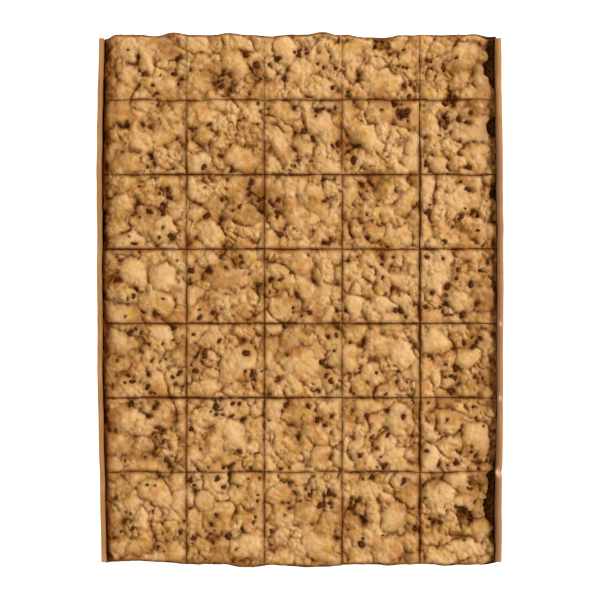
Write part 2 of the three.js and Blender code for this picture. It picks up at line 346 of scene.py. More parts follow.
def hang_loops(name: str, points: Array, numbers: Array, loops: list[Array], middle: Array,
               material: bpy.types.Material, layers: dict[str, tuple[Array, float]]) -> bpy.types.Object:
    """Makes a closed piece from a top and the loops of points that hang below its rim.

    Args:
        name: The piece's name.
        points: The top's points.
        numbers: The top's grid of point numbers.
        loops: The loops, from the highest to the lowest.
        middle: The point that the lowest loop closes on.
        material: The finish.
        layers: Values at the top's points and the value of all the points below, by name.

    Returns:
        The closed piece.
    """
    faces = grid_faces(numbers)
    upper = rim_of(numbers)
    start = len(points)
    for loop in loops:
        lower = np.arange(start, start + len(loop))
        faces += band_faces(upper, lower)
        upper = lower
        start += len(loop)
    faces += floor_faces(upper, start)
    rest = start + 1 - len(points)
    values = {layer: np.concatenate([top.ravel(), np.full(rest, below)])
              for layer, (top, below) in layers.items()}
    return mesh_object(name, np.concatenate([points, *loops, middle[None]]), faces, material, values)


class PlaneNoise:
    """Smooth random values over the plane, the same on every run."""

    SIZE = 256

    def __init__(self, seed: int) -> None:
        """Draws the values at the corners of a repeating lattice.

        Args:
            seed: Start of the random numbers.
        """
        draw = np.random.default_rng(seed)
        self.values = draw.uniform(-1, 1, (self.SIZE, self.SIZE))
        self.spots = draw.uniform(0, 1, (2, self.SIZE, self.SIZE))
        self.turn = draw.uniform(0, math.tau)

    def _lattice(self, x: Array, y: Array, length: float) -> tuple[Array, Array, Array, Array]:
        """Finds places on a lattice that is turned off the axes.

        Args:
            x: Places across, in millimetres.
            y: Places along.
            length: Size of a lattice cell, in millimetres.

        Returns:
            The two numbers of each place's cell, and the place within it.
        """
        cos, sin = math.cos(self.turn), math.sin(self.turn)
        u, v = (x * cos - y * sin) / length, (x * sin + y * cos) / length
        i, j = np.floor(u).astype(int), np.floor(v).astype(int)
        return i, j, u - i, v - j

    def at(self, x: Array, y: Array, length: float) -> Array:
        """Reads a smooth value from -1 to 1.

        Args:
            x: Places across, in millimetres.
            y: Places along.
            length: Size of a lattice cell, in millimetres.

        Returns:
            The values.
        """
        i, j, u, v = self._lattice(x, y, length)
        u, v = (s * s * s * (s * (6 * s - 15) + 10) for s in (u, v))
        corner = [[self.values[(i + a) % self.SIZE, (j + b) % self.SIZE] for a in (0, 1)] for b in (0, 1)]
        return blend(blend(*corner[0], u), blend(*corner[1], u), v)

    def waves(self, x: Array, y: Array, waves: Waves) -> Array:
        """Adds up smooth values of several sizes.

        Args:
            x: Places across, in millimetres.
            y: Places along.
            waves: The rise and the length of each size.

        Returns:
            The sums.
        """
        return sum(rise * self.at(x, y, length) for rise, length in waves)

    def nearest(self, x: Array, y: Array, length: float) -> tuple[Array, Array]:
        """Finds the nearest of some scattered spots.

        Args:
            x: Places across, in millimetres.
            y: Places along.
            length: About how far the spots lie apart, in millimetres.

        Returns:
            The distance as a share of that length, and the spot's own value from -1 to 1.
        """
        i, j, u, v = self._lattice(x, y, length)
        nearest = np.full(np.shape(x), np.inf)
        value = np.zeros(np.shape(x))
        for a in (-1, 0, 1):
            for b in (-1, 0, 1):
                cell = (i + a) % self.SIZE, (j + b) % self.SIZE
                away = np.hypot(a + self.spots[0][cell] - u, b + self.spots[1][cell] - v)
                value = np.where(away < nearest, self.values[cell], value)
                nearest = np.minimum(nearest, away)
        return nearest, value


# Dough lumps that stand out, row by row from +Y: x, y, half length, half width and turn in degrees
GREAT_LUMPS = (
    (-134, 193, 14.5, 10.5, 20), (-77, 168, 11.5, 10, 90), (-52, 184, 18, 12.5, -58),
    (18, 163, 14, 9.5, 15), (63, 166, 18, 13, 0), (128, 188, 16, 12.5, 25),
    (-123, 122, 10.5, 8, -15), (-135, 105, 15, 9, -20), (-46, 108, 15.5, 12, 0),
    (-12, 144, 12.5, 10, -20), (-14, 118, 18.5, 8, -60), (50, 126, 19.5, 10.5, -38),
    (61, 145, 11.5, 10.5, 0), (101, 133, 16.5, 10.5, -45), (131, 132, 19, 16, 0),
    (-133, 45, 15.5, 8.5, 5), (-70, 52, 13.5, 11.5, -60), (-3, 66, 20, 8.5, -55),
    (10, 83, 12, 10, 20), (77, 49, 14, 10, -10), (122, 76, 22, 16, 20),
    (-132, 23, 15.5, 14.5, 0), (-107, 16, 12.5, 11, 90), (-108, -3, 18, 11, -15),
    (-58, 16, 17, 13, 10), (42, -3, 11.5, 9.5, 90), (64, -4, 12.5, 10.5, -20),
    (-48, -50, 22, 19, 60), (-73, -68, 13.5, 8, 5), (1, -51, 21, 16, -10),
    (35, -43, 11.5, 11.5, 0), (54, -57, 13.5, 9.5, -5), (78, -41, 18, 10, -45),
    (104, -32, 12.5, 11.5, -30), (129, -45, 11, 10.5, 0), (-135, -90, 14.5, 11.5, 0),
    (-52, -104, 20, 11, -40), (54, -82, 16, 6.5, 0), (77, -93, 15.5, 13, 40),
    (115, -92, 12, 8, 15), (134, -107, 19, 11.5, 90), (-110, -151, 18, 12, -30),
    (108, -150, 15.5, 13.5, 0), (-64, -169, 14.5, 12.5, 30), (-15, -167, 11.5, 10.5, -60),
    (73, -169, 12, 11.5, 0), (-123, -190, 13.5, 10, 10), (-40, -190, 17.5, 12.5, 0),
    (15, -192, 17.5, 11.5, -30), (127, -192, 21.5, 8.5, 4),
)

# Gaps in the dough where the brownie below is bare: x, y and radius
BARE_SPOTS = (
    (117, 156, 6), (79, 145, 5), (125, -166, 7), (61, 199, 8), (145, 197, 7), (-148, -199, 5),
)

# Places where the dough is browned, broken and full of chips: x, y and radius
BROWNED_SPOTS = (
    (-104, 197, 9), (115, 177, 12), (-60, 167, 11), (-103, 160, 13), (36, 156, 10), (128, 141, 9),
    (-114, 136, 9), (35, 116, 11), (55, 90, 12), (-27, 74, 14), (-62, 72, 10), (-113, 65, 11), (62, 36, 7),
    (-58, 34, 12), (-33, 12, 9), (-70, -3, 9), (30, -22, 10), (-78, -50, 12), (17, -58, 9), (70, -62, 9),
    (-110, -74, 9), (118, -88, 9), (137, -90, 8), (18, -90, 9), (57, -108, 8), (-118, -112, 14),
    (-134, -116, 9), (104, -142, 9), (89, -143, 11), (38, -164, 12), (84, -172, 10), (108, -173, 10),
    (-18, -192, 8),
)

# Places where it stayed pale and whole: x, y and radius
PALE_SPOTS = (
    (34, 184, 9), (53, 180, 9), (-89, 180, 9), (-15, 158, 10), (-62, 140, 9), (63, 127, 11), (-20, 126, 11),
    (6, 112, 10), (-75, 112, 8), (80, 104, 11), (75, 84, 9), (115, 82, 15), (-3, 82, 9), (23, 65, 8),
    (102, 46, 9), (103, 27, 10), (-130, 20, 10), (-104, 17, 10), (45, 14, 11), (45, -5, 11), (62, -4, 11),
    (123, -15, 9), (-106, -28, 10), (104, -31, 9), (80, -42, 11), (103, -61, 12), (-36, -76, 10),
    (-77, -84, 9), (-55, -100, 13), (93, -100, 9), (-26, -108, 12), (38, -113, 10), (72, -118, 9),
    (104, -119, 9), (-22, -122, 9), (-82, -125, 9), (60, -152, 10), (-59, -156, 9), (112, -157, 10),
    (-102, -165, 10), (5, -187, 12), (-40, -187, 11),
)

# How far the cookie stands out past the brownie at the open ends
RIM_REACH = {Side.NORTH: 3.2, Side.SOUTH: 2.4}

# The swells of its rim there: x, half length and rise
RIM_SWELLS = {
    Side.NORTH: ((-152, 6, -3.4), (-114, 7, -1.1), (-99, 7, 1.7), (-55, 9, 1.3), (-24, 9, -1.2), (17, 8, 1.8),
                 (57, 16, -2.3), (133, 5, 0.8), (149, 9, -2.2)),
    Side.SOUTH: ((-130, 32, -2.6), (-41, 12, 2.5), (10, 22, 2.2), (68, 5, 0.7), (115, 7, 1.2),
                 (151, 6, -2.0)),
}

# Line of the noise that each side's own unevenness is read along
NOISE_LINES = {Side.WEST: 11.0, Side.EAST: 53.0, Side.SOUTH: 97.0, Side.NORTH: 139.0}


@dataclass(frozen=True)
class Surface:
    """The dough's top at some places: its height in millimetres and what its colour follows."""

    height: Array
    crease_shade: Array
    tint: Array
    loose: Array
    hollow: Array
    cleft: Array


@dataclass
class Dough:
    """The cookie layer as one sheet of lumps over the whole slab, before it is cut. Millimetres."""

    low: float
    high: float
    half_length: float = 201.6
    brownie_top: float = 15.5
    sheet_top: float = 22.0
    # How lumps are strewn and shaped; each kind of random lump has its least and most radius and its tries
    lump_top: float = 26.7
    ledge: float = 3.4
    sizes: tuple[tuple[float, float, int], ...] = ((10, 14, 700), (6.5, 10, 1600), (4, 6.5, 3200))
    seed: int = 35
    crowding: float = 0.62
    stretch: float = 0.45
    uneven: float = 1.9
    full_radius: float = 12
    small_drop: float = 0.16
    crown: float = 0.33
    shoulder: float = 2.6
    dome_reach: float = 1.6
    boulder_radius: float = 8.3
    proud: float = 1.2
    rough_least: float = 0.35
    rough_more: float = 0.55
    great_rough: float = 0.7
    great_blending: float = 0.4
    # How softly lumps run together, at least and at most, and how their outlines wander
    merging: Span = (0.25, 1.3)
    fusing_most: float = 0.7
    fusing_size: float = 11
    bend_lengths: Triple = (17, 7, 2.8)
    rubble_bends: Triple = (2.6, 1.9, 0.6)
    boulder_bends: Triple = (1.6, 2.3, 0.9)
    crumb_bends: Triple = (0, 0.7, 0.5)
    rubble_bent: float = 0.7
    rubble_rise: float = 0.4
    rubble_softness: float = 0.4
    ground_rise: float = 0.8
    ground_size: float = 25
    # Clumps and the smaller clods that the dough swelled up in
    clump_size: float = 12
    clod_size: float = 6.4
    clod_fine: float = 3.4
    clump_apart: float = 16
    clod_apart: float = 12
    browned_apart: float = 0.7
    clump_drop: float = 2.4
    clod_drop: float = 2.2
    ground_swell: float = 0.5
    boulder_swell: float = 0.22
    # Crumbs, grit and pits of its skin
    crumb_size: float = 4.4
    crumb_rise: float = 2.6
    grit_size: float = 2.5
    grit_rise: float = 0.85
    crumb_level: float = 0.3
    pit_spacing: float = 5.0
    pit_radius: float = 0.28
    skin_waves: Waves = ((0.14, 2.8), (0.08, 1.4))
    # How far creases and bare gaps sink, and browned places below pale ones
    crease_gap: float = 1.7
    crease_depth: float = 0.8
    parting_gap: float = 0.8
    hollow_depth: float = 2.6
    hollow_grain: float = 2.2
    hollow_ragged: float = 4.5
    browned_sink: float = 0.7
    spot_sink: float = 0.3
    # Size of the patches of colour, and of the places where chips gather
    tint_waves: Waves = ((1.25, 19), (0.6, 5))
    gather_size: float = 15
    gather_fine: float = 7
    boulders: Array = field(init=False)
    rubble: Array = field(init=False)
    tints: Array = field(init=False)
    roughness: Array = field(init=False)
    blending: Array = field(init=False)
    warp_x: PlaneNoise = field(init=False)
    warp_y: PlaneNoise = field(init=False)
    fusing: PlaneNoise = field(init=False)
    grain: PlaneNoise = field(init=False)
    crumb: PlaneNoise = field(init=False)
    patch: PlaneNoise = field(init=False)

    def __post_init__(self) -> None:
        """Draws the lumps and the noise that roughens them."""
        great = len(GREAT_LUMPS)
        lumps = np.array(self._scatter())
        lumps[:great, 6] += self.proud
        whole = (lumps[:, 5] >= self.boulder_radius) | (np.arange(len(lumps)) < great)
        self.boulders, self.rubble = lumps[whole], lumps[~whole]
        draw = np.random.default_rng(self.seed)
        # One more entry than there are boulders, for places that none of them reaches
        count = len(self.boulders) + 1
        self.tints = draw.uniform(-1, 1, count)
        self.tints[-1] = 0
        self.roughness = self.rough_least + self.rough_more * draw.uniform(0, 1, count) ** 1.5
        self.roughness[:great] *= self.great_rough
        self.blending = np.ones(count)
        self.blending[:great] = self.great_blending
        self.warp_x, self.warp_y, self.fusing, self.grain, self.crumb, self.patch = (
            PlaneNoise(self.seed + k) for k in range(1, 7)
        )

    def _stream(self) -> Iterator[float]:
        """Gives the same numbers from 0 to 1 as the solids' own source draws.

        Yields:
            The next number.
        """
        state = self.seed
        while True:
            state = state * 16807 % 2147483647
            yield state / 2147483647

    def _scatter(self) -> list[tuple[float, ...]]:
        """Places the lumps that stand out, then random ones that keep clear of the rest.

        Returns:
            x, y, half length, half width, turn in radians, radius and top of each lump.
        """
        stream = self._stream()
        lumps: list[tuple[float, ...]] = []

        def place(x: float, y: float, long: float, wide: float, turn: float) -> None:
            """Adds one lump, with the next draw as its height.

            Args:
                x: Its middle across.
                y: Its middle along.
                long: Half its length.
                wide: Half its width.
                turn: How far it is turned, in radians.
            """
            radius = math.sqrt(long * wide)
            smaller = max(0.0, self.full_radius - radius)
            top = self.lump_top + self.uneven * (next(stream) - 0.5) - self.small_drop * smaller
            lumps.append((x, y, long, wide, turn, radius, top))

        for x, y, long, wide, turn in GREAT_LUMPS:
            place(x, y, long, wide, math.radians(turn))
        for least, most, tries in self.sizes:
            for _ in range(tries):
                x = blend(self.low + self.ledge, self.high - self.ledge, next(stream))
                y = (2 * next(stream) - 1) * self.half_length
                radius = blend(least, most, next(stream))
                stretch = 1 + self.stretch * next(stream)
                turn = math.pi * next(stream)
                clear = all(math.hypot(x - lump[0], y - lump[1]) >= self.crowding * (radius + lump[5])
                            for lump in lumps)
                if clear:
                    place(x, y, radius * stretch, radius / stretch, turn)
        return lumps

    def _domes(self, lumps: Array, x: Array, y: Array) -> Iterator[tuple[int, Array]]:
        """Goes through the lumps that come near some places.

        Args:
            lumps: Rows of lumps.
            x: Places across.
            y: Places along.

        Yields:
            A lump's number and its height over each place.
        """
        for number, (cx, cy, long, wide, turn, radius, top) in enumerate(lumps):
            reach = self.dome_reach * max(long, wide)
            if not (x.min() - reach < cx < x.max() + reach and y.min() - reach < cy < y.max() + reach):
                continue
            cos, sin = math.cos(turn), math.sin(turn)
            along = ((x - cx) * cos + (y - cy) * sin) / long
            across = ((y - cy) * cos - (x - cx) * sin) / wide
            yield number, top - self.crown * radius * np.hypot(along, across) ** self.shoulder

    def _joined(self, lumps: Array, x: Array, y: Array, merging: Array) -> tuple[Array, Array, Array]:
        """Joins lumps and finds which one each place belongs to.

        Args:
            lumps: Rows of lumps.
            x: Places across.
            y: Places along.
            merging: How softly the lumps run together there, in millimetres.

        Returns:
            The joined height, how far the highest lump stands above the next, and its number.
        """
        best = np.zeros(x.shape)
        second = best.copy()
        total = np.full(x.shape, 1e-30)
        owner = np.full(x.shape, -1)
        for number, height in self._domes(lumps, x, y):
            total += np.exp((np.maximum(height, 0) - self.lump_top) / merging)
            higher = height > best
            second = np.where(higher, best, np.maximum(second, height))
            best = np.where(higher, height, best)
            owner = np.where(higher, number, owner)
        return self.lump_top + merging * np.log(total), best - second, owner

    def gathering(self, x: Array, y: Array) -> Array:
        """How thickly chips lie about a place.

        Args:
            x: Places across.
            y: Places along.

        Returns:
            The thickness, about -1 to 1.
        """
        spots = self.darkening(x, y)
        broad = (1 - 0.5 * np.abs(spots)) * self.grain.at(x, y, self.gather_size) * 0.7
        return broad + 0.5 * self.warp_y.at(x, y + 200, self.gather_fine) + 0.9 * spots

    def darkening(self, x: Array, y: Array) -> Array:
        """How the dough was baked at a place.

        Args:
            x: Places across.
            y: Places along.

        Returns:
            -1 where the dough stayed pale and whole, up to 1 where it is browned and broken.
        """
        total = np.zeros(np.shape(x))
        for spots, sign in ((BROWNED_SPOTS, 1), (PALE_SPOTS, -1)):
            for sx, sy, radius in spots:
                total += sign * fall(np.hypot(x - sx, y - sy), radius, 3)
        return np.clip(total, -1, 1)

    def _strayed(self, x: Array, y: Array, amounts: Triple) -> Places:
        """Moves places aside, so that what is drawn there gets wandering outlines.

        Args:
            x: Places across.
            y: Places along.
            amounts: How far broad, middling and fine bends go.

        Returns:
            The new x and y.
        """
        moved = []
        for place, noise in ((x, self.warp_x), (y, self.warp_y)):
            for amount, length in zip(amounts, self.bend_lengths):
                place = place + amount * noise.at(x, y, length)
            moved.append(place)
        return moved[0], moved[1]

    def _swells(self, x: Array, y: Array, rubbly: Places, crumbly: Places,
                darkening: Array) -> tuple[Array, Array]:
        """Works out the clumps and clods that the dough swelled up in, and the clefts between them.

        Args:
            x: Places across.
            y: Places along.
            rubbly: The places as strayed for the rubble.
            crumbly: The places as strayed for the crumbs.
            darkening: How the dough was baked there.

        Returns:
            How far the dough swells up, and from 0 to 1 how deep in a cleft each place lies.
        """
        clumps = np.abs(self.fusing.at(*rubbly, self.clump_size))
        clods = np.abs(self.warp_x.at(*crumbly, self.clod_size))
        fine = np.abs(self.warp_y.at(*crumbly, self.clod_fine))
        browned = self.browned_apart * darkening
        wide = smoothstep(self.patch.at(x + 70, y, self.clump_apart) + browned, -0.7, 0.3)
        tight = smoothstep(self.patch.at(x, y + 70, self.clod_apart) + browned, -0.5, 0.5)
        swell = -self.clump_drop * wide * fall(clumps, 0.26, 1.5)
        swell -= self.clod_drop * tight * fall(clods, 0.28, 1.5)
        swell += 1.2 * clumps + 0.8 * clods + 0.3 * fine + 0.9
        return swell, np.maximum(wide * fall(clumps, 0.2), 0.9 * tight * fall(clods, 0.24))

    def _hollow(self, x: Array, y: Array, rubbly: Places) -> Array:
        """Finds the gaps where the brownie is bare.

        Args:
            x: Places across.
            y: Places along.
            rubbly: The places as strayed for the rubble.

        Returns:
            From 0 on whole dough to 1 in a gap.
        """
        ragged = 0.5 * self.grain.at(x, y, self.hollow_ragged)
        hollow = np.zeros(x.shape)
        for sx, sy, radius in BARE_SPOTS:
            away = np.hypot(rubbly[0] - sx, rubbly[1] - sy) / radius + ragged
            hollow = np.maximum(hollow, 1 - smoothstep(away, 0.45, 1.15))
        return hollow

    def _roughened(self, x: Array, y: Array, rubbly: Places, crumbly: Places, rugged: Array,
                   loose: Array) -> tuple[Array, Array]:
        """Works out the crumbs, grit and pits of the dough's skin.

        Args:
            x: Places across.
            y: Places along.
            rubbly: The places as strayed for the rubble.
            crumbly: The places as strayed for the crumbs.
            rugged: From 0 on smooth dough to 1 on rough.
            loose: From 0 on a great lump to 1 in the rubble between.

        Returns:
            How far the skin stands out, and from 0 to 1 how deep in a pit each place lies.
        """
        crumb_away, _ = self.crumb.nearest(*crumbly, self.crumb_size)
        grit_away, _ = self.crumb.nearest(crumbly[0] + 40, crumbly[1], self.grit_size)
        near, chance = self.patch.nearest(rubbly[0], rubbly[1] + 70, self.pit_spacing)
        crumb = self.crumb_rise * (self.crumb_level - crumb_away ** 2)
        grit = self.grit_rise * (self.crumb_level - grit_away ** 2)
        open_pit = smoothstep(chance, 1.0 - 0.55 * rugged, 1.25 - 0.55 * rugged)
        pit = np.clip(1 - (near / self.pit_radius) ** 2, 0, 1) * open_pit
        rise = rugged * crumb + (0.3 + 0.7 * rugged + 0.8 * loose) * grit - (0.3 + 0.6 * rugged) * pit
        return rise + self.grain.waves(x, y, self.skin_waves), pit

    def surface(self, x: Array, y: Array) -> Surface:
        """Works out the dough's top, with its creases, crumbs and hollows, away from its edges.

        Args:
            x: Places across.
            y: Places along.

        Returns:
            The height there and what the colour follows.
        """
        rubbly = self._strayed(x, y, self.rubble_bends)
        crumbly = self._strayed(x, y, self.crumb_bends)
        darkening = self.darkening(*rubbly)
        swell, cleft = self._swells(x, y, rubbly, crumbly, darkening)
        fused = self.fusing_most * smoothstep(self.fusing.at(x, y + 90, self.fusing_size), -0.3, 0.6)
        merging = blend(*self.merging, fused)
        bent = (blend(own, moved, self.rubble_bent) for own, moved in zip((x, y), rubbly))
        rubble, parting, _ = self._joined(self.rubble, *bent, merging)
        floor = self.sheet_top + self.rubble_rise
        above = rubble - floor
        rubble = floor + 0.5 * (above + np.sqrt(above ** 2 + self.rubble_softness))
        ground = rubble + self.ground_rise * self.fusing.at(x, y, self.ground_size)
        ground += self.ground_swell * swell
        boulder, lead, owner = self._joined(self.boulders, *self._strayed(x, y, self.boulder_bends), merging)
        boulder = boulder + self.boulder_swell * swell
        rise = boulder - ground
        loose = 1 - smoothstep(rise, -0.6, 0.9)
        seam = np.exp(-np.minimum(np.abs(rise), np.where(rise > 0, lead, 9)) / self.crease_gap)
        standing = smoothstep(self.boulders[owner, 6] - ground, 0.6, 2.2)
        crease_shade = seam * (1 - fused * self.blending[owner]) * standing
        crease_shade = np.maximum(crease_shade, 0.8 * loose * (1 - fused) * np.exp(-parting / self.parting_gap))
        rugged = blend(self.roughness[owner], 1.0, loose)
        skin, pit = self._roughened(x, y, rubbly, crumbly, rugged, loose)
        height = boulder + merging * np.log(1 + np.exp(np.clip(-rise / merging, -30, 60)))
        height += skin - self.crease_depth * crease_shade
        height -= self.browned_sink * darkening + self.spot_sink * np.abs(darkening)
        pale = np.minimum(darkening, 0)
        tint = 0.4 * self.tints[owner] * (1 - loose) + self.patch.waves(x, y, self.tint_waves)
        tint = (1 - 0.6 * np.abs(darkening)) * tint + darkening + 0.2 * pale
        # painted shade: creases and pits are painted darker, less so in pale spots
        crease_shade = np.clip(0.8 * crease_shade + 0.3 * pit, 0, 1) * (1 + 0.6 * pale)
        hollow = self._hollow(x, y, rubbly)
        height -= self.hollow_depth * hollow * (1 + 0.8 * self.warp_x.at(x, y, self.hollow_grain))
        return Surface(height, crease_shade, tint, loose, hollow, cleft * blend(0.3, 1.0, loose))


@dataclass(frozen=True)
class CookieDough:
    """Baked cookie dough: matt, sandy and golden, with painted shade and browning in its creases and by the
    walls.
    """

    pale: str = "#d9b489"
    golden: str = "#b58246"
    toasted: str = "#946438"
    # colour of the painted shade in creases, cuts, rims and by the walls, with some browning
    crease_shade: str = "#602b00"
    smear_and_shade: str = "#562500"
    yellow: str = "#c79d4c"
    orange: str = "#c37b43"
    patch: float = 6
    hue: float = 9
    sand: float = 1.5
    pore: float = 0.8
    sheen: Sheen = Sheen(1.45, 0.02, (0.8, 0.58), 0.4, 0.5)

    def material(self) -> bpy.types.Material:
        """Builds the material; sand and pores are drawn a little coarse so that they show.

        Returns:
            The material.
        """
        material, tree, place = new_material("baked_cookie_dough")
        read = {name: add_node(tree, "ShaderNodeAttribute", {"attribute_name": name}).outputs["Fac"]
                for name in ("crease_shade", "tint", "toast", "smear_and_shade")}
        sizes = {"patch": self.patch, "hue": self.hue, "sand": self.sand, "pore": self.pore}
        noise = {name: add_node(tree, "ShaderNodeTexNoise", None,
                                {"Scale": per_mm(size), "Detail": 4, "Roughness": 0.62},
                                {"Vector": place}).outputs["Fac"]
                 for name, size in sizes.items()}
        paint = Paint(tree, self.pale)
        paint.lay(self.golden, noise["patch"], (0.36, 0.64))
        paint.lay(self.yellow, noise["hue"], (0.5, 0.64), (0, 0.7))
        paint.lay(self.orange, noise["hue"], (0.48, 0.36), (0, 0.62))
        paint.lay(self.toasted, read["tint"], (0, 1.1), (0, 0.6))
        # paler where the tint is low: the dough's own pale tone and the painted highlight on rises
        paint.lay(self.pale, read["tint"], (0, -1.1), (0, 0.55))
        paint.lay(self.toasted, read["toast"])
        paint.lay(self.toasted, noise["sand"], (0.3, 0.48), (0.34, 0))
        # painted shade over the dough, from the crease shade layer
        paint.lay(self.crease_shade, read["crease_shade"])
        paint.lay(self.smear_and_shade, read["smear_and_shade"])
        grit = add_node(tree, "ShaderNodeMath", {"operation": "MULTIPLY_ADD"}, {1: 0.5},
                        {0: noise["pore"], 2: noise["sand"]})
        self.sheen.end(material, paint.colour, noise["sand"], grit.outputs["Value"])
        return material


@dataclass(frozen=True)
class BrownieCrumb:
    """Baked brownie: dark, dense crumb with open pores under a thin, crackled and greyer crust."""

    crumb: str = "#5c3014"
    deep: str = "#2b150a"
    crust: str = "#7f5634"
    pore: float = 2.2
    crackle: float = 5.5
    sheen: Sheen = Sheen(1.45, 0.06, (0.75, 0.5), 0.8, 0.6)

    def material(self) -> bpy.types.Material:
        """Builds the material; the crust lies on faces that look up.

        Returns:
            The material.
        """
        material, tree, place = new_material("baked_brownie")
        normal = add_node(tree, "ShaderNodeNewGeometry").outputs["Normal"]
        up = add_node(tree, "ShaderNodeSeparateXYZ", None, None, {"Vector": normal}).outputs["Z"]
        pore = add_node(tree, "ShaderNodeTexNoise", None,
                        {"Scale": per_mm(self.pore), "Detail": 5, "Roughness": 0.7}, {"Vector": place})
        cells = add_node(tree, "ShaderNodeTexVoronoi", {"feature": "DISTANCE_TO_EDGE"},
                         {"Scale": per_mm(self.crackle)}, {"Vector": place})
        grain = pore.outputs["Fac"]
        crust = Paint(tree, self.crumb).lay(self.crust, cells.outputs["Distance"], (0.02, 0.12))
        paint = Paint(tree, self.deep).lay(self.crumb, grain, (0.35, 0.6))
        paint.lay(crust.colour, up, (0.75, 0.95), (0, 0.75))
        self.sheen.end(material, paint.colour, grain, grain)
        return material


@dataclass(frozen=True)
class DarkChocolate:
    """Chocolate chips that softened in the oven: dark and smooth, with a dull bloom and a slight gloss."""

    dark: str = "#44200a"
    bloom: str = "#5e371a"
    cloud: float = 1.8
    sheen: Sheen = Sheen(1.48, 0.03, (0.5, 0.7), 0.4, 0.2)

    def material(self) -> bpy.types.Material:
        """Builds the material.

        Returns:
            The material.
        """
        material, tree, place = new_material("baked_dark_chocolate")
        noise = add_node(tree, "ShaderNodeTexNoise", None, {"Scale": per_mm(self.cloud), "Detail": 3},
                         {"Vector": place})
        cloud = noise.outputs["Fac"]
        paint = Paint(tree, self.dark).lay(self.bloom, cloud, (0.42, 0.66))
        self.sheen.end(material, paint.colour, cloud, cloud)
        return material


@dataclass(frozen=True)
class KraftCard:
    """Unbleached kraft board: tan fibres along the sheet, darker flecks, pinkish near one end, grease and
    painted shade inside.
    """

    pale: str = "#b78b61"
    tan: str = "#a67a4f"
    fleck: str = "#84593a"
    pinkish_tone: str = "#9a735f"
    core: str = "#cfa184"
    soak_and_shade: str = "#6a3d20"
    fibre: float = 1.4
    fibre_length: float = 14
    cloud: float = 22
    sheen: Sheen = Sheen(1.45, 0.3, (0.85, 0.65), 0.35, 0.15)

    def material(self) -> bpy.types.Material:
        """Builds the material; fibres are drawn as coarse as they need to show.

        Returns:
            The material.
        """
        material, tree, place = new_material("kraft_board")
        along = add_node(tree, "ShaderNodeMapping", None, {"Scale": (1, self.fibre / self.fibre_length, 1)},
                         {"Vector": place})
        noise = add_node(tree, "ShaderNodeTexNoise", None,
                         {"Scale": per_mm(self.fibre), "Detail": 4, "Roughness": 0.6},
                         {"Vector": along.outputs["Vector"]})
        cloud = add_node(tree, "ShaderNodeTexNoise", None, {"Scale": per_mm(self.cloud), "Detail": 2},
                         {"Vector": place})
        fibre = noise.outputs["Fac"]
        paint = Paint(tree, self.pale)
        paint.lay(self.tan, cloud.outputs["Fac"], (0.35, 0.65))
        paint.lay(self.fleck, fibre, (0.3, 0.46), (0.55, 0))
        for name, colour in (("pinkish_tone", self.pinkish_tone), ("soak_and_shade", self.soak_and_shade), ("torn", self.core)):
            paint.lay(colour, add_node(tree, "ShaderNodeAttribute", {"attribute_name": name}).outputs["Fac"])
        self.sheen.end(material, paint.colour, fibre, fibre)
        return material


@dataclass(frozen=True)
class PaleFloor:
    """Plain white studio table, matt and almost even, lit a little from below so that shadows stay faint."""

    white: str = "#f9f9f9"
    shade: str = "#f5f5f4"
    cloud: float = 300
    glow: float = 0.85

    def material(self) -> bpy.types.Material:
        """Builds the material.

        Returns:
            The material.
        """
        material, tree, place = new_material("matt_white_floor")
        cloud = add_node(tree, "ShaderNodeTexNoise", None, {"Scale": per_mm(self.cloud)}, {"Vector": place})
        colour = Paint(tree, self.white).lay(self.shade, cloud.outputs["Fac"]).colour
        shader = add_node(tree, "ShaderNodeBsdfPrincipled", None,
                          {"Roughness": 0.9, "Specular IOR Level": 0.1, "Emission Strength": self.glow},
                          {"Base Color": colour, "Emission Color": colour})
        add_node(tree, "ShaderNodeOutputMaterial", None, None, {"Surface": shader.outputs["BSDF"]})
        return material


class Bit(Enum):
    """Shape of a small thing that is scattered."""

    CHUNK = "chunk"
    CRUMB = "crumb"


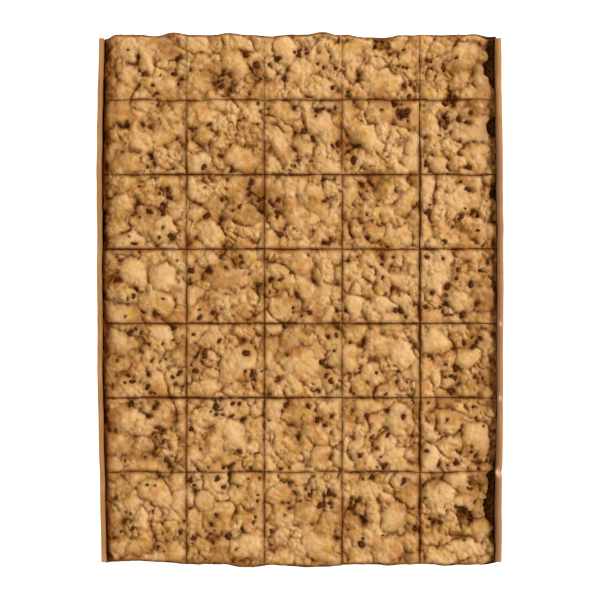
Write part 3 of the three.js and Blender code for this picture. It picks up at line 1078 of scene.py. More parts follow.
class ScatterTree:
    """A node tree that sets a small lumpy chunk or crumb on every point of a mesh."""

    INPUTS = {"Geometry": "NodeSocketGeometry", "Lump Size": "NodeSocketFloat",
              "Lump Depth": "NodeSocketFloat", "Material": "NodeSocketMaterial"}

    def __init__(self, shape: Bit) -> None:
        """Builds the tree with its named inputs.

        Args:
            shape: What is set on the points.
        """
        tree = bpy.data.node_groups.new(f"scatter_{shape.value}", "GeometryNodeTree")
        sockets = [tree.interface.new_socket(name, in_out="INPUT", socket_type=kind)
                   for name, kind in self.INPUTS.items()]
        tree.interface.new_socket("Geometry", in_out="OUTPUT", socket_type="NodeSocketGeometry")
        given = add_node(tree, "NodeGroupInput").outputs
        if shape is Bit.CHUNK:
            bit = add_node(tree, "GeometryNodeMeshUVSphere", None, {"Segments": 8, "Rings": 5, "Radius": 1.0})
        else:
            bit = add_node(tree, "GeometryNodeMeshIcoSphere", None, {"Radius": 1.0, "Subdivisions": 1})
        size, turn = (add_node(tree, "GeometryNodeInputNamedAttribute", {"data_type": "FLOAT_VECTOR"},
                               {"Name": name}).outputs["Attribute"] for name in ("size", "turn"))
        euler = add_node(tree, "FunctionNodeEulerToRotation", None, None, {0: turn})
        spread = add_node(tree, "GeometryNodeInstanceOnPoints", None, None,
                          {"Points": given["Geometry"], "Instance": bit.outputs["Mesh"],
                           "Rotation": euler.outputs[0], "Scale": size})
        real = add_node(tree, "GeometryNodeRealizeInstances", None, None, {0: spread.outputs[0]})
        place = add_node(tree, "GeometryNodeInputPosition")
        noise = add_node(tree, "ShaderNodeTexNoise", None, {"Detail": 1.0},
                         {"Vector": place.outputs[0], "Scale": given["Lump Size"]})
        centred = add_node(tree, "ShaderNodeVectorMath", {"operation": "SUBTRACT"}, {1: (0.5, 0.5, 0.5)},
                           {0: noise.outputs["Color"]})
        offset = add_node(tree, "ShaderNodeVectorMath", {"operation": "SCALE"}, None,
                          {0: centred.outputs[0], "Scale": given["Lump Depth"]})
        moved = add_node(tree, "GeometryNodeSetPosition", None, None,
                         {"Geometry": real.outputs[0], "Offset": offset.outputs[0]})
        smooth = add_node(tree, "GeometryNodeSetShadeSmooth", None, None, {0: moved.outputs[0]})
        dressed = add_node(tree, "GeometryNodeSetMaterial", None, None,
                           {"Geometry": smooth.outputs[0], "Material": given["Material"]})
        add_node(tree, "NodeGroupOutput", None, None, {0: dressed.outputs[0]})
        self.tree = tree
        self.keys = {socket.name: socket.identifier for socket in sockets}

    def scatter(self, name: str, points: Array, sizes: Array, turns: Array, lumps: Span,
                material: bpy.types.Material) -> bpy.types.Object:
        """Sets bits on points and makes the result a plain mesh.

        Args:
            name: The piece's name.
            points: Places in millimetres.
            sizes: The three half sizes of each bit, in millimetres.
            turns: The three turns of each bit, in radians.
            lumps: How long the lumps on a bit are and how far they stand out, in millimetres.
            material: The finish.

        Returns:
            The piece.
        """
        seeds = bpy.data.meshes.new(f"{name}_points")
        seeds.from_pydata((points * MM).tolist(), [], [])
        for layer, values in (("size", sizes * MM), ("turn", turns)):
            attribute = seeds.attributes.new(layer, "FLOAT_VECTOR", "POINT")
            attribute.data.foreach_set("vector", np.ascontiguousarray(values, np.float32).ravel())
        carrier = bpy.data.objects.new(f"{name}_carrier", seeds)
        bpy.context.scene.collection.objects.link(carrier)
        modifier = carrier.modifiers.new("scatter", "NODES")
        modifier.node_group = self.tree
        modifier[self.keys["Lump Size"]] = per_mm(lumps[0])
        modifier[self.keys["Lump Depth"]] = lumps[1] * MM
        modifier[self.keys["Material"]] = material
        evaluated = carrier.evaluated_get(bpy.context.evaluated_depsgraph_get())
        mesh = bpy.data.meshes.new_from_object(evaluated)
        mesh.name = name
        carrier.modifiers.remove(modifier)
        bpy.data.objects.remove(carrier)
        piece = bpy.data.objects.new(name, mesh)
        bpy.context.scene.collection.objects.link(piece)
        return piece


@dataclass(frozen=True)
class Chip:
    """One chocolate chip: its place and radius in millimetres."""

    x: float
    y: float
    radius: float


@dataclass
class ChipScatter:
    """All the chocolate chips of the slab, more of them in the creases, and none across a cut."""

    dough: Dough
    seed: int = 207
    per_portion: float = 16
    usual_area: float = 3300
    tries_each: int = 60
    least: float = 1.1
    most: float = 2.9
    apart: float = 0.65
    cut_margin: float = 0.1
    edge_margin: float = 6
    on_whole: float = 0.008
    in_crease: float = 0.25
    in_cleft: float = 0.9
    sunk: Span = (0.45, 0.65)
    least_shape: Triple = (1.1, 0.7, 0.5)
    most_shape: Triple = (1.7, 1.1, 0.7)
    tilt: float = 0.5
    lumps: Span = (1.8, 2.6)
    stain_waves: Waves = ((0.9, 2.4), (0.4, 1.2))
    chips: list[Chip] = field(default_factory=list)

    def fill(self, low: Array, high: Array, edges: dict[Side, Edge]) -> None:
        """Scatters the chips of one portion.

        Args:
            low: Lowest x and y of the portion.
            high: Highest x and y.
            edges: What bounds the portion, by side.
        """
        draw = np.random.default_rng(self.seed + len(self.chips))
        margin = {side: self.edge_margin if edge is not Edge.CUT else 0.0 for side, edge in edges.items()}
        low = low + [margin[Side.WEST], margin[Side.SOUTH]]
        high = high - [margin[Side.EAST], margin[Side.NORTH]]
        area_share = np.prod(high - low) / self.usual_area
        tries = int(self.tries_each * self.per_portion * area_share)
        spots = low + draw.uniform(0, 1, (tries, 2)) * (high - low)
        surface = self.dough.surface(spots[:, 0], spots[:, 1])
        cluster = 0.5 + self.dough.gathering(spots[:, 0], spots[:, 1])
        lodged = self.on_whole + self.in_crease * surface.crease_shade + self.in_cleft * surface.cleft
        chance = surface.hollow + lodged * cluster
        wanted = self.per_portion * area_share * draw.uniform(0.75, 1.3)
        mine: list[Chip] = []
        for (x, y), odds in zip(spots, chance):
            radius = self.least + (self.most - self.least) * draw.uniform() ** 1.7
            inside = min(x - low[0], y - low[1], high[0] - x, high[1] - y) > radius + self.cut_margin
            clear = all(math.hypot(x - c.x, y - c.y) > self.apart * (radius + c.radius) for c in mine)
            if inside and clear and draw.uniform() < odds and len(mine) < wanted:
                mine.append(Chip(float(x), float(y), float(radius)))
        self.chips.extend(mine)

    def dent(self, x: Array, y: Array) -> tuple[Array, Array]:
        """Works out how the chips sink into the dough and stain it.

        Args:
            x: Places across.
            y: Places along.

        Returns:
            How far the dough drops, in millimetres, and how much chocolate is smeared on it.
        """
        drop = np.zeros(x.shape)
        smear_and_shade = np.zeros(x.shape)
        noise = self.dough.warp_x
        x, y = x + noise.waves(x, y, self.stain_waves), y + noise.waves(x + 50, y, self.stain_waves)
        west, east, south, north = x.min(), x.max(), y.min(), y.max()
        for chip in self.chips:
            reach = 3 * chip.radius
            if not (west - reach < chip.x < east + reach and south - reach < chip.y < north + reach):
                continue
            away = np.hypot(x - chip.x, y - chip.y) / chip.radius
            drop = np.maximum(drop, 0.3 * chip.radius * fall(away, 1.2, 4))
            smear_and_shade = np.maximum(smear_and_shade, 0.7 * fall(away, 1.3))
        return drop, smear_and_shade

    def build(self, tree: ScatterTree, material: bpy.types.Material) -> bpy.types.Object:
        """Sets every chip on the dough, mostly sunk in it.

        Args:
            tree: The tree that makes the chunks.
            material: The finish.

        Returns:
            The piece.
        """
        draw = np.random.default_rng(self.seed)
        x, y, radius = np.array([(c.x, c.y, c.radius) for c in self.chips]).T
        height = self.dough.surface(x, y).height - draw.uniform(*self.sunk, len(x)) * radius
        shapes = draw.uniform(self.least_shape, self.most_shape, (len(x), 3))
        turns = draw.uniform((-self.tilt, -self.tilt, 0), (self.tilt, self.tilt, math.tau), (len(x), 3))
        points = np.stack([x, y, height], -1)
        return tree.scatter("chocolate_chips", points, radius[:, None] * shapes, turns, self.lumps, material)


@dataclass
class Crust:
    """The cookie's top over one portion, whose edges are still being worked: its points and colouring."""

    x: Array
    y: Array
    height: Array
    crease_shade: Array
    tint: Array
    toast: Array
    smear_and_shade: Array

    def round_off(self, foot: Array, calm: Array, share: Array) -> None:
        """Rounds an edge down to its foot, as share goes from 1 inside to 0 at the edge."""
        curve = blend(foot, np.maximum(calm, foot), np.sqrt(1 - (1 - share) ** 2))
        self.height = np.minimum(self.height, curve)


@dataclass
class Portion:
    """One cut portion: a brownie block under its share of the cookie sheet. Millimetres."""

    row: int
    column: int
    dough: Dough
    step: float = 0.62
    brownie_step: float = 2.4
    # Rounded outer edges, and the rim at an open end
    rounding: float = 5.0
    round_width: float = 3.2
    rim_lift: float = 2.6
    rim_least: float = -0.5
    rim_waves: Waves = ((0.4, 9), (0.25, 4))
    rim_crumbs: Waves = ((0.9, 3.6), (0.5, 1.8))
    rim_shade_width: float = 1.1
    wall_lift: float = 9.0
    wall_foot: float = 0.9
    # The brownie's top, and how far it goes out and up at the walls and their ends
    layer_waves: Waves = ((0.8, 14), (0.4, 4))
    brownie_beyond: float = 1.3
    brownie_room: Span = (1.5, 1.3)
    end_spill: float = 2.4
    end_spill_span: Span = (0.9862, 0.9897)
    west_spill: float = 1.2
    west_spill_span: Span = (0.994, 0.998)
    wall_climb: float = 2.5
    climb_width: float = 5.0
    end_climb: float = 4.5
    wall_lean: float = 1.5
    slant: float = 1.5
    # Room beside each wall at its middle, and how much less it is at the wall's ends
    west_room: Span = (1.2, 1.9)
    east_room: Span = (3.0, 2.1)
    west_reach: float = 0.7
    west_back: float = 0.9
    west_back_span: Span = (120, 180)
    east_reach: float = 3.4
    wall_waves: Waves = ((1.0, 17), (0.8, 6), (0.5, 2.6))
    nick_place: float = -132.6
    nick_width: float = 6
    nick_push: float = 1.1
    # Gaps between the cookie and the right wall: y, half length and depth
    east_gaps: tuple[Triple, ...] = (
        (187, 20, 8.1), (134, 8, 6.1), (85, 9, 5.1), (-150, 24, 7.6), (-184, 7, 3.6),
    )
    gap_waves: Waves = ((0.35, 5), (0.1, 2))
    crumbs_per_mm: float = 3.0
    crumb_sizes: Span = (0.5, 1.5)
    # How the cuts are painted with shade, partly brownie smeared by the knife, how nearly they close and how
    # they stray
    cut_shade_width: float = 1.85
    cut_share: float = 0.46
    cut_close: float = 0.22
    cut_waves: Waves = ((0.1, 9), (0.1, 3))
    column_aside: float = 0.15
    row_aside: float = -0.25
    straight_gaps: Span = (0.9, 1.3)
    stray_length: float = 13
    shiver: float = 0.15
    shiver_length: float = 5
    cut_drop: float = 0.3
    cut_drop_width: float = 0.5
    faint_span: Span = (115, 165)
    # How far the dough is browned and painted with the walls' shade, on the left also close to it
    shade_and_scorch_width: float = 10
    east_shade_and_scorch: float = 0.42
    west_shade_and_scorch: float = 0.48
    close_shade_and_scorch: float = 0.45
    close_shade_and_scorch_width: float = 3.5
    east_sink: float = 1.8
    east_sink_width: float = 7.0
    toasting: float = 0.75
    east_toasting: float = 0.4
    wall_toast_span: Span = (0.3, 6.5)
    rim_toast_span: Span = (0.3, 3.0)
    # The cookie's sides below its rim, down to the root that is sunk in the brownie
    wall_tuck: float = 0.8
    rim_tuck: float = 0.6
    shelf: float = 2.0
    root_depth: float = 2.6
    root_inset: float = 0.8
    # painted shade on the cookie's sides below its rim
    ledge_shade: float = 0.85
    ledge_toast: float = 0.5
    low: Array = field(init=False)
    high: Array = field(init=False)
    floor: float = field(init=False)
    edges: dict[Side, Edge] = field(init=False)
    gaps: dict[Side, float] = field(init=False)

    def __post_init__(self) -> None:
        """Reads the portion's place from its solid."""
        low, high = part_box(self.node)
        self.low = np.array(low[:2]) / MM
        self.high = np.array(high[:2]) / MM
        self.floor = low[2] / MM
        self.edges = {
            Side.WEST: Edge.WALL if self.column == 1 else Edge.CUT,
            Side.EAST: Edge.WALL if self.column == COLUMNS else Edge.CUT,
            Side.SOUTH: Edge.OPEN if self.row == ROWS else Edge.CUT,
            Side.NORTH: Edge.OPEN if self.row == 1 else Edge.CUT,
        }
        if self.edges[Side.SOUTH] is Edge.OPEN:
            self.low[1] = -self.dough.half_length
        if self.edges[Side.NORTH] is Edge.OPEN:
            self.high[1] = self.dough.half_length
        self.gaps = {side: self._gap(side) for side, edge in self.edges.items() if edge is Edge.CUT}

    def _gap(self, side: Side) -> float:
        """Finds how wide the cut on one side is.

        Args:
            side: The side.

        Returns:
            The distance to the portion beyond.
        """
        axis = side.axis
        row = self.row - side.sign * axis
        column = self.column + side.sign * (1 - axis)
        low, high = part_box(f"portion_r{row}_c{column}")
        return max(low[axis] / MM - self.high[axis], self.low[axis] - high[axis] / MM)

    @property
    def node(self) -> str:
        """Name of the solid that the portion stands for."""
        return f"portion_r{self.row}_c{self.column}"

    def _shares(self, length: float, step: float, low_edge: Edge, high_edge: Edge) -> Array:
        """Spreads grid lines from 0 to 1 over a side, closer together where an edge is round.

        Args:
            length: The side's length.
            step: How far lines lie apart.
            low_edge: What bounds the low end.
            high_edge: What bounds the high end.

        Returns:
            The lines' places.
        """
        curl = self.rounding * (1 - np.cos(np.linspace(0, math.pi / 2, 11)))
        start = curl if low_edge is not Edge.CUT else np.array([0.0])
        stop = length - curl[::-1] if high_edge is not Edge.CUT else np.array([length])
        count = max(2, round((stop[0] - start[-1]) / step))
        middle = np.linspace(start[-1], stop[0], count + 1)[1:-1]
        return np.concatenate([start, middle, stop]) / length

    def _reach(self, side: Side, along: Array) -> Array:
        """How far the cookie stands out past the brownie's side, less than nothing where it is set back.

        Args:
            side: The side.
            along: Places along that side.

        Returns:
            The distances.
        """
        line = np.full(along.shape, NOISE_LINES[side])
        ways = {Edge.WALL: self._wall_reach, Edge.OPEN: self._open_reach, Edge.CUT: self._cut_reach}
        return ways[self.edges[side]](side, along, line)

    def _wall_reach(self, side: Side, along: Array, line: Array) -> Array:
        """How far the cookie goes towards a wall, with gaps by the one on the right.

        Args:
            side: The side.
            along: Places along it.
            line: Where its noise is read.

        Returns:
            The distances, which never go past the wall.
        """
        noise = self.dough.grain
        back = noise.waves(along, line, self.wall_waves)
        room = self._wall_line(side, along)
        if side is Side.WEST:
            back += self.west_back * smoothstep(along, *self.west_back_span)
            return np.minimum(self.west_reach - back, room)
        gaps = sum(depth * fall(along - y, half, 4) for y, half, depth in self.east_gaps)
        gaps = gaps * (1 + noise.waves(along, line + 20, self.gap_waves))
        return np.minimum(self.east_reach - back - gaps, room)

    def _open_reach(self, side: Side, along: Array, line: Array) -> Array:
        """How far the cookie's rim stands out at an open end.

        Args:
            side: The side.
            along: Places along it.
            line: Where its noise is read.

        Returns:
            The distances.
        """
        noise = self.dough.grain
        swells = sum(rise * fall(np.abs(along - x), half, 3) for x, half, rise in RIM_SWELLS[side])
        return np.maximum(RIM_REACH[side] + swells + noise.waves(along, line, self.rim_waves), self.rim_least)

    def _cut_reach(self, side: Side, along: Array, line: Array) -> Array:
        """How far the cookie goes into a cut, which it never closes.

        Args:
            side: The side.
            along: Places along it.
            line: Where its noise is read.

        Returns:
            The distances.
        """
        noise = self.dough.grain
        line = line + 60 * self.row + 7 * self.column
        gap = self.gaps[side]
        close = self.cut_close + 0.1 * gap + gap * noise.waves(along, line, self.cut_waves)
        if side.axis == 0:
            at_rim = smoothstep(np.abs(along), self.dough.half_length - 3, self.dough.half_length)
            close = blend(close, 0.43 * gap, np.maximum(0.5 * at_rim, 0.85 * self._faintness(along)))
        return np.minimum(close, self.cut_share * gap) + self._wander(side, along)

    def _wall_line(self, side: Side, along: Array) -> Array:
        """How far the dough can go past the brownie's solid before it meets a wall or its bent nick.

        Args:
            side: The side with the wall.
            along: Places along it.

        Returns:
            The distances.
        """
        room, bowed = self.east_room if side is Side.EAST else self.west_room
        free = room - bowed * (along / self.dough.half_length) ** 2
        return free - self.nick_push * fall(along - self.nick_place, self.nick_width) * (side is Side.EAST)

    def _faintness(self, along: Array) -> Array:
        """How far the long cuts have closed again, which they do towards +Y."""
        return smoothstep(along, *self.faint_span)

    def _wander(self, side: Side, along: Array) -> Array:
        """How far a cut strays outwards from its line, the same for the portions on both sides of it.

        Args:
            side: The side.
            along: Places along it.

        Returns:
            The distances.
        """
        after = side in (Side.EAST, Side.SOUTH)
        cut, aside, straight = self.column - 1 + after, self.column_aside, 1.0
        if side.axis == 1:
            cut, aside = 19 + self.row + after, self.row_aside
            straight = smoothstep(self.gaps[side], *self.straight_gaps)
        line = np.full(along.shape, 31.0 * cut)
        strays = ((0.75 - 0.45 * straight, self.stray_length), (self.shiver, self.shiver_length))
        return side.sign * (aside * straight + self.dough.crumb.waves(along, line, strays))

    def _end(self, side: Side, along: Array, follow: tuple[Edge, ...], extra: float) -> Array:
        """How far a grid goes past the brownie's solid on one side.

        Args:
            side: The side.
            along: Places along it.
            follow: The kinds of side where the grid follows the cookie's own edge.
            extra: How far past that edge it goes.

        Returns:
            The distances.
        """
        edge, half = self.edges[side], self.dough.half_length
        if edge in follow:
            return self._reach(side, along) + extra
        if edge is Edge.WALL and side is Side.EAST:
            return self.to_wall(along)
        if edge is Edge.WALL:
            return self.west_spill * smoothstep(-along / half, *self.west_spill_span)
        if side.axis == 0:
            return self.cut_share * self.gaps[side] * smoothstep(np.abs(along), half - 6, half - 1)
        return np.zeros(len(along))

    def _plan(self, step: float, follow: tuple[Edge, ...],
              extra: float = 0) -> tuple[Array, Array, dict[Side, Array]]:
        """Lays a grid over the portion's footprint.

        Args:
            step: How far grid lines lie apart.
            follow: The kinds of side where the grid follows the cookie's own edge.
            extra: How far past that edge it goes.

        Returns:
            x and y of the grid, and each point's distance from each side.
        """
        size = self.high - self.low
        u = self._shares(size[0], step, self.edges[Side.WEST], self.edges[Side.EAST])
        v = self._shares(size[1], step, self.edges[Side.SOUTH], self.edges[Side.NORTH])
        even = (self.low[0] + u * size[0], self.low[1] + v * size[1])
        ends = {side: self._end(side, even[1 - side.axis], follow, extra) for side in Side}
        slant = self.slant * smoothstep(-even[1], *SLANT_SPAN) * (self.edges[Side.WEST] is Edge.WALL)
        west = (self.low[0] + slant - ends[Side.WEST])[:, None]
        east = (self.high[0] + ends[Side.EAST])[:, None]
        south = (self.low[1] - ends[Side.SOUTH])[None, :]
        north = (self.high[1] + ends[Side.NORTH])[None, :]
        x = west + u[None, :] * (east - west)
        y = south + v[:, None] * (north - south)
        return x, y, {Side.WEST: x - west, Side.EAST: east - x, Side.SOUTH: y - south, Side.NORTH: north - y}

    def to_wall(self, along: Array) -> Array:
        """How far the brownie goes past its solid to the wall on the right, and round that wall's ends.

        Args:
            along: Places along the wall.

        Returns:
            The distances.
        """
        share = np.abs(along) / self.dough.half_length
        room = self.brownie_room[0] - self.brownie_room[1] * share ** 2
        return room + self.end_spill * smoothstep(share, *self.end_spill_span)

    def _climb(self, side: Side, away: Array, along: Array) -> Array:
        """How far the brownie has risen by a wall, most at the ends of the right one.

        Args:
            side: The side with the wall.
            away: Distances from it.
            along: Places along it.

        Returns:
            The rises.
        """
        at_end = smoothstep(np.abs(along), self.dough.half_length - 9, self.dough.half_length - 1)
        most = self.wall_climb + self.end_climb * at_end * (side is Side.EAST)
        return most * fall(away, self.climb_width)

    def crumbs(self, draw: np.random.Generator) -> Array:
        """Places the loose crumbs that lie on bare brownie by the wall on the right.

        Args:
            draw: The random numbers.

        Returns:
            x, y, z and radius of each crumb.
        """
        spots = np.concatenate([y + draw.uniform(-1, 1, round(self.crumbs_per_mm * half)) * half
                                for y, half, _ in self.east_gaps])
        spots = spots[(spots > self.low[1] + 2) & (spots < self.high[1] - 2)]
        radius = draw.uniform(*self.crumb_sizes, len(spots))
        start, stop = self._reach(Side.EAST, spots), self.to_wall(spots)
        x = self.high[0] + blend(start, stop, draw.uniform(0, 1, len(spots)))
        z = self._layer(x, spots) + self._climb(Side.EAST, self.high[0] + stop - x, spots) + 0.2 * radius
        return np.stack([x, spots, z, radius], -1)

    def _layer(self, x: Array, y: Array) -> Array:
        """Height of the line between brownie and cookie, as the dough sank into the batter."""
        return self.dough.brownie_top + self.dough.patch.waves(x, y, self.layer_waves)

    def _crust(self, x: Array, y: Array, surface: Surface, chips: ChipScatter) -> Crust:
        """Sinks the chips into the dough's top and colours it with painted shade and highlight, away from its
        edges.

        Args:
            x: Places across.
            y: Places along.
            surface: The dough's top there.
            chips: The slab's chips.

        Returns:
            The top.
        """
        drop, smear_and_shade = chips.dent(x, y)
        height = surface.height - drop
        fine, broad = (local_mean(height, reach) - height for reach in (4, 13))
        # painted shade: dough below its surroundings is painted darker, most in broad hollows, and so are the
        # clefts
        cavity = 0.1 * np.clip(fine / 0.9, 0, 1) + 0.55 * np.clip((broad - 0.2) / 2.4, 0, 1)
        crease_shade = np.maximum(np.clip(0.34 * surface.crease_shade + cavity, 0, 1), 0.2 * surface.cleft)
        # painted highlight: dough that stands above its surroundings is painted paler
        tint = surface.tint - 0.5 * np.clip(-broad / 1.5, 0, 1)
        gathering = self.dough.gathering(x, y)
        melted = smoothstep(gathering + 0.3 * self.dough.crumb.at(x, y, 4), 0.0, 0.35)
        # painted shade in the clefts where chips gather, which also stands for chocolate smeared there
        smear_and_shade = np.maximum(smear_and_shade, 0.45 * smoothstep(surface.cleft, 0.25, 1.0) * melted)
        toast = 0.1 * surface.loose + 0.15 * smoothstep(gathering, 0.05, 0.6)
        return Crust(x, y, height, crease_shade, tint, toast, smear_and_shade)

    def _work_cut(self, crust: Crust, side: Side, away: Array) -> None:
        """Rounds the dough along a cut and paints shade along it, partly as brownie smeared by the knife.

        Args:
            crust: The cookie's top.
            side: The side.
            away: Distances from it.
        """
        crust.height = crust.height - self.cut_drop * np.exp(-away / self.cut_drop_width)
        # painted shade along the cut, darker in patches and fainter where the long cuts close again
        darkening = np.clip(0.9 + 0.4 * self.dough.crumb.at(crust.x, crust.y, 9), 0.5, 1)
        if side.axis == 0:
            darkening = darkening * (1 - 0.55 * self._faintness(crust.y))
        crust.crease_shade = np.maximum(crust.crease_shade, darkening * fall(away + 0.2, self.cut_shade_width, 1.5))

    def _work_wall(self, crust: Crust, side: Side, away: Array, layer: Array) -> None:
        """Rounds the dough by a wall with painted shade and scorch, and lets it down to the brownie where it
        keeps clear.

        Args:
            crust: The cookie's top.
            side: The side.
            away: Distances from it.
            layer: Height of the brownie's top.
        """
        line = line_of(crust.y, side)
        apart = self._wall_line(side, line) - self._reach(side, line)
        foot = layer - self.wall_foot + self.wall_lift * (1 - smoothstep(apart, 0.5, 2.5))[:, None]
        calm = crust.height
        # painted shade of the wall, with some scorching, darkens the dough towards it
        if side is Side.EAST:
            shade_and_scorch = self.east_shade_and_scorch * fall(away, self.shade_and_scorch_width)
            crust.height = crust.height - self.east_sink * fall(away, self.east_sink_width)
        else:
            shade_and_scorch = self.west_shade_and_scorch * fall(away, self.shade_and_scorch_width)
            shade_and_scorch += self.close_shade_and_scorch * fall(away, self.close_shade_and_scorch_width)
        crust.crease_shade = crust.crease_shade + shade_and_scorch * (1 - crust.crease_shade)
        crust.round_off(foot, calm, np.clip(away / self.round_width, 0, 1))
        toasting = self.east_toasting if side is Side.EAST else self.toasting
        crust.toast = np.maximum(crust.toast, toasting * (1 - smoothstep(away, *self.wall_toast_span)))

    def _work_open(self, crust: Crust, side: Side, away: Array, layer: Array) -> None:
        """Rounds, crumbles and browns the rim at an open end, with painted shade along its edge.

        Args:
            crust: The cookie's top.
            side: The side.
            away: Distances from it.
            layer: Height of the brownie's top.
        """
        share = np.clip(away / self.round_width, 0, 1)
        calm = blend(local_mean(crust.height, 7), crust.height, smoothstep(share, 0.1, 1))
        # painted shade along the rim's edge, where it turns down
        crust.crease_shade = np.maximum(crust.crease_shade, 0.6 * fall(away, self.rim_shade_width))
        crust.round_off(layer + self.rim_lift, calm, share)
        crumbly = self.dough.grain.waves(crust.x, crust.height, self.rim_crumbs)
        crust.y = crust.y + (1 - share) * crumbly * side.sign
        browned = self.toasting * (1 - smoothstep(away, *self.rim_toast_span))
        crust.toast = np.maximum(crust.toast, browned)

    def _cookie_sides(self, points: Array, numbers: Array) -> list[Array]:
        """Makes the loops below the cookie's rim.

        Args:
            points: The top's points.
            numbers: The top's grid of point numbers.

        Returns:
            A ledge in the cuts, its seam with the brownie, and a root that is sunk in the brownie.
        """
        tuck = {Edge.WALL: self.wall_tuck, Edge.OPEN: self.rim_tuck}
        inward = np.zeros((len(points), 2))
        deeper = inward.copy()
        shelf = np.full(len(points), self.shelf)
        for side, edge in self.edges.items():
            axis, sign, line = side.axis, -side.sign, line_of(numbers, side)
            deeper[line, axis] += sign * self.root_inset
            if edge is not Edge.CUT:
                inward[line, axis] += sign * tuck[edge]
                continue
            own = self.low[axis] if sign > 0 else self.high[axis]
            closed = self.cut_share * self.gaps[side] + self._wander(side, points[line, 1 - axis])
            inward[line, axis] = own - sign * closed - points[line, axis]
            shelf[line] = 0.2 + 0.5 * self.gaps[side]
        rim = rim_of(numbers)
        ledge = points[rim].copy()
        ledge[:, :2] += inward[rim]
        layer = self._layer(ledge[:, 0], ledge[:, 1])
        ledge[:, 2] = np.maximum(ledge[:, 2] - shelf[rim], np.minimum(ledge[:, 2] - 0.1, layer + 0.1))
        seam = ledge.copy()
        seam[:, 2] = np.minimum(ledge[:, 2] - 0.1, layer)
        root = seam.copy()
        root[:, :2] += deeper[rim]
        root[:, 2] = self.dough.brownie_top - self.root_depth
        return [ledge, seam, root]

    def build_cookie(self, chips: ChipScatter, material: bpy.types.Material) -> bpy.types.Object:
        """Makes the cookie layer, with its relief, rounded outer edges and cut sides.

        Args:
            chips: The slab's chips, which dent the dough.
            material: The finish.

        Returns:
            The closed piece.
        """
        x, y, away = self._plan(self.step, tuple(Edge))
        surface = self.dough.surface(x, y)
        crust = self._crust(x, y, surface, chips)
        layer = self._layer(x, y)
        for side, edge in self.edges.items():
            if edge is Edge.CUT:
                self._work_cut(crust, side, away[side])
            elif edge is Edge.WALL:
                self._work_wall(crust, side, away[side], layer)
            else:
                self._work_open(crust, side, away[side], layer)
        ragged = 0.5 + 0.5 * self.dough.warp_y.at(x, crust.y - crust.height, 2.0)
        smear_and_shade = np.maximum(crust.smear_and_shade, surface.hollow * (0.55 + 0.45 * ragged))
        points = np.stack([x, crust.y, crust.height], axis=-1).reshape(-1, 3)
        numbers = np.arange(x.size).reshape(x.shape)
        middle = np.array([*(self.low + self.high) / 2, self.dough.brownie_top - self.root_depth])
        # the cookie's sides below the rim get painted shade and some browning
        layers = {"crease_shade": (crust.crease_shade, self.ledge_shade), "tint": (crust.tint, 0.0),
                  "toast": (crust.toast, self.ledge_toast), "smear_and_shade": (smear_and_shade, 0.0)}
        return hang_loops(f"cookie_r{self.row}_c{self.column}", points, numbers,
                          self._cookie_sides(points, numbers), middle, material, layers)

    def build_brownie(self, material: bpy.types.Material) -> bpy.types.Object:
        """Makes the brownie layer, with a crackled top and a rough crumb on its open ends.

        Args:
            material: The finish.

        Returns:
            The closed piece.
        """
        x, y, away = self._plan(self.brownie_step, (Edge.OPEN,), self.brownie_beyond)
        noise = self.dough.patch
        top = self._layer(x, y) + 0.35 * noise.at(x, y, 2.8)
        numbers = np.arange(x.size).reshape(x.shape)
        outward, lean = np.zeros(x.size), np.zeros(x.size)
        for side, edge in self.edges.items():
            if edge is Edge.WALL:
                top += self._climb(side, away[side], y)
                lean[line_of(numbers, side)] = self.wall_lean * (side is Side.EAST)
            if edge is Edge.OPEN:
                outward[line_of(numbers, side)] = side.sign
        points = np.stack([x, y, top], axis=-1).reshape(-1, 3)
        over = points[:, 1] - np.clip(points[:, 1], -self.dough.half_length, self.dough.half_length)
        aside = points[:, 0] - np.clip(points[:, 0], self.low[0] + 0.2, self.high[0] + 0.2)
        spill = np.stack([np.where(over == 0, 0, aside), over], -1)
        rim = rim_of(numbers)
        loops = []
        for share in np.linspace(0, 1, 9)[1:]:
            loop = points[rim].copy()
            loop[:, 2] = blend(loop[:, 2], self.floor, share)
            rough = 0.55 * noise.at(loop[:, 0] + 3 * loop[:, 2], loop[:, 2] * 2, 3.1) - 0.5 * (share > 0.95)
            loop[:, 1] += outward[rim] * rough
            loop[:, :2] -= share ** 2 * spill[rim]
            loop[:, 0] -= share * lean[rim]
            loops.append(loop)
        middle = np.array([*(self.low + self.high) / 2, self.floor])
        return hang_loops(f"brownie_r{self.row}_c{self.column}", points, numbers, loops, middle, material, {})


@dataclass
class LooseCrumbs:
    """Brownie crumbs that lie where the cookie keeps clear of the wall on the right."""

    portions: list[Portion]
    seed: int = 19
    shape: Span = (0.7, 1.2)
    lumps: Span = (1.2, 0.9)

    def build(self, tree: ScatterTree, material: bpy.types.Material) -> bpy.types.Object:
        """Sets the crumbs on the brownie.

        Args:
            tree: The tree that makes the crumbs.
            material: The finish.

        Returns:
            The piece.
        """
        draw = np.random.default_rng(self.seed)
        crumbs = np.concatenate([portion.crumbs(draw) for portion in self.portions])
        sizes = crumbs[:, 3:] * draw.uniform(*self.shape, (len(crumbs), 3))
        turns = draw.uniform(0, math.tau, (len(crumbs), 3))
        return tree.scatter("brownie_crumbs", crumbs[:, :3], sizes, turns, self.lumps, material)


@dataclass(frozen=True)
class Nick:
    """A nick in the right wall's crest, by the cut below a row: its depth, half width and bend in mm."""

    row: int
    depth: float
    half: float
    bend: float

    @property
    def place(self) -> float:
        """Where the nick is along the wall."""
        above, below = (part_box(f"portion_r{row}_c{COLUMNS}") for row in (self.row, self.row + 1))
        return (above[0].y + below[1].y) / 2 / MM


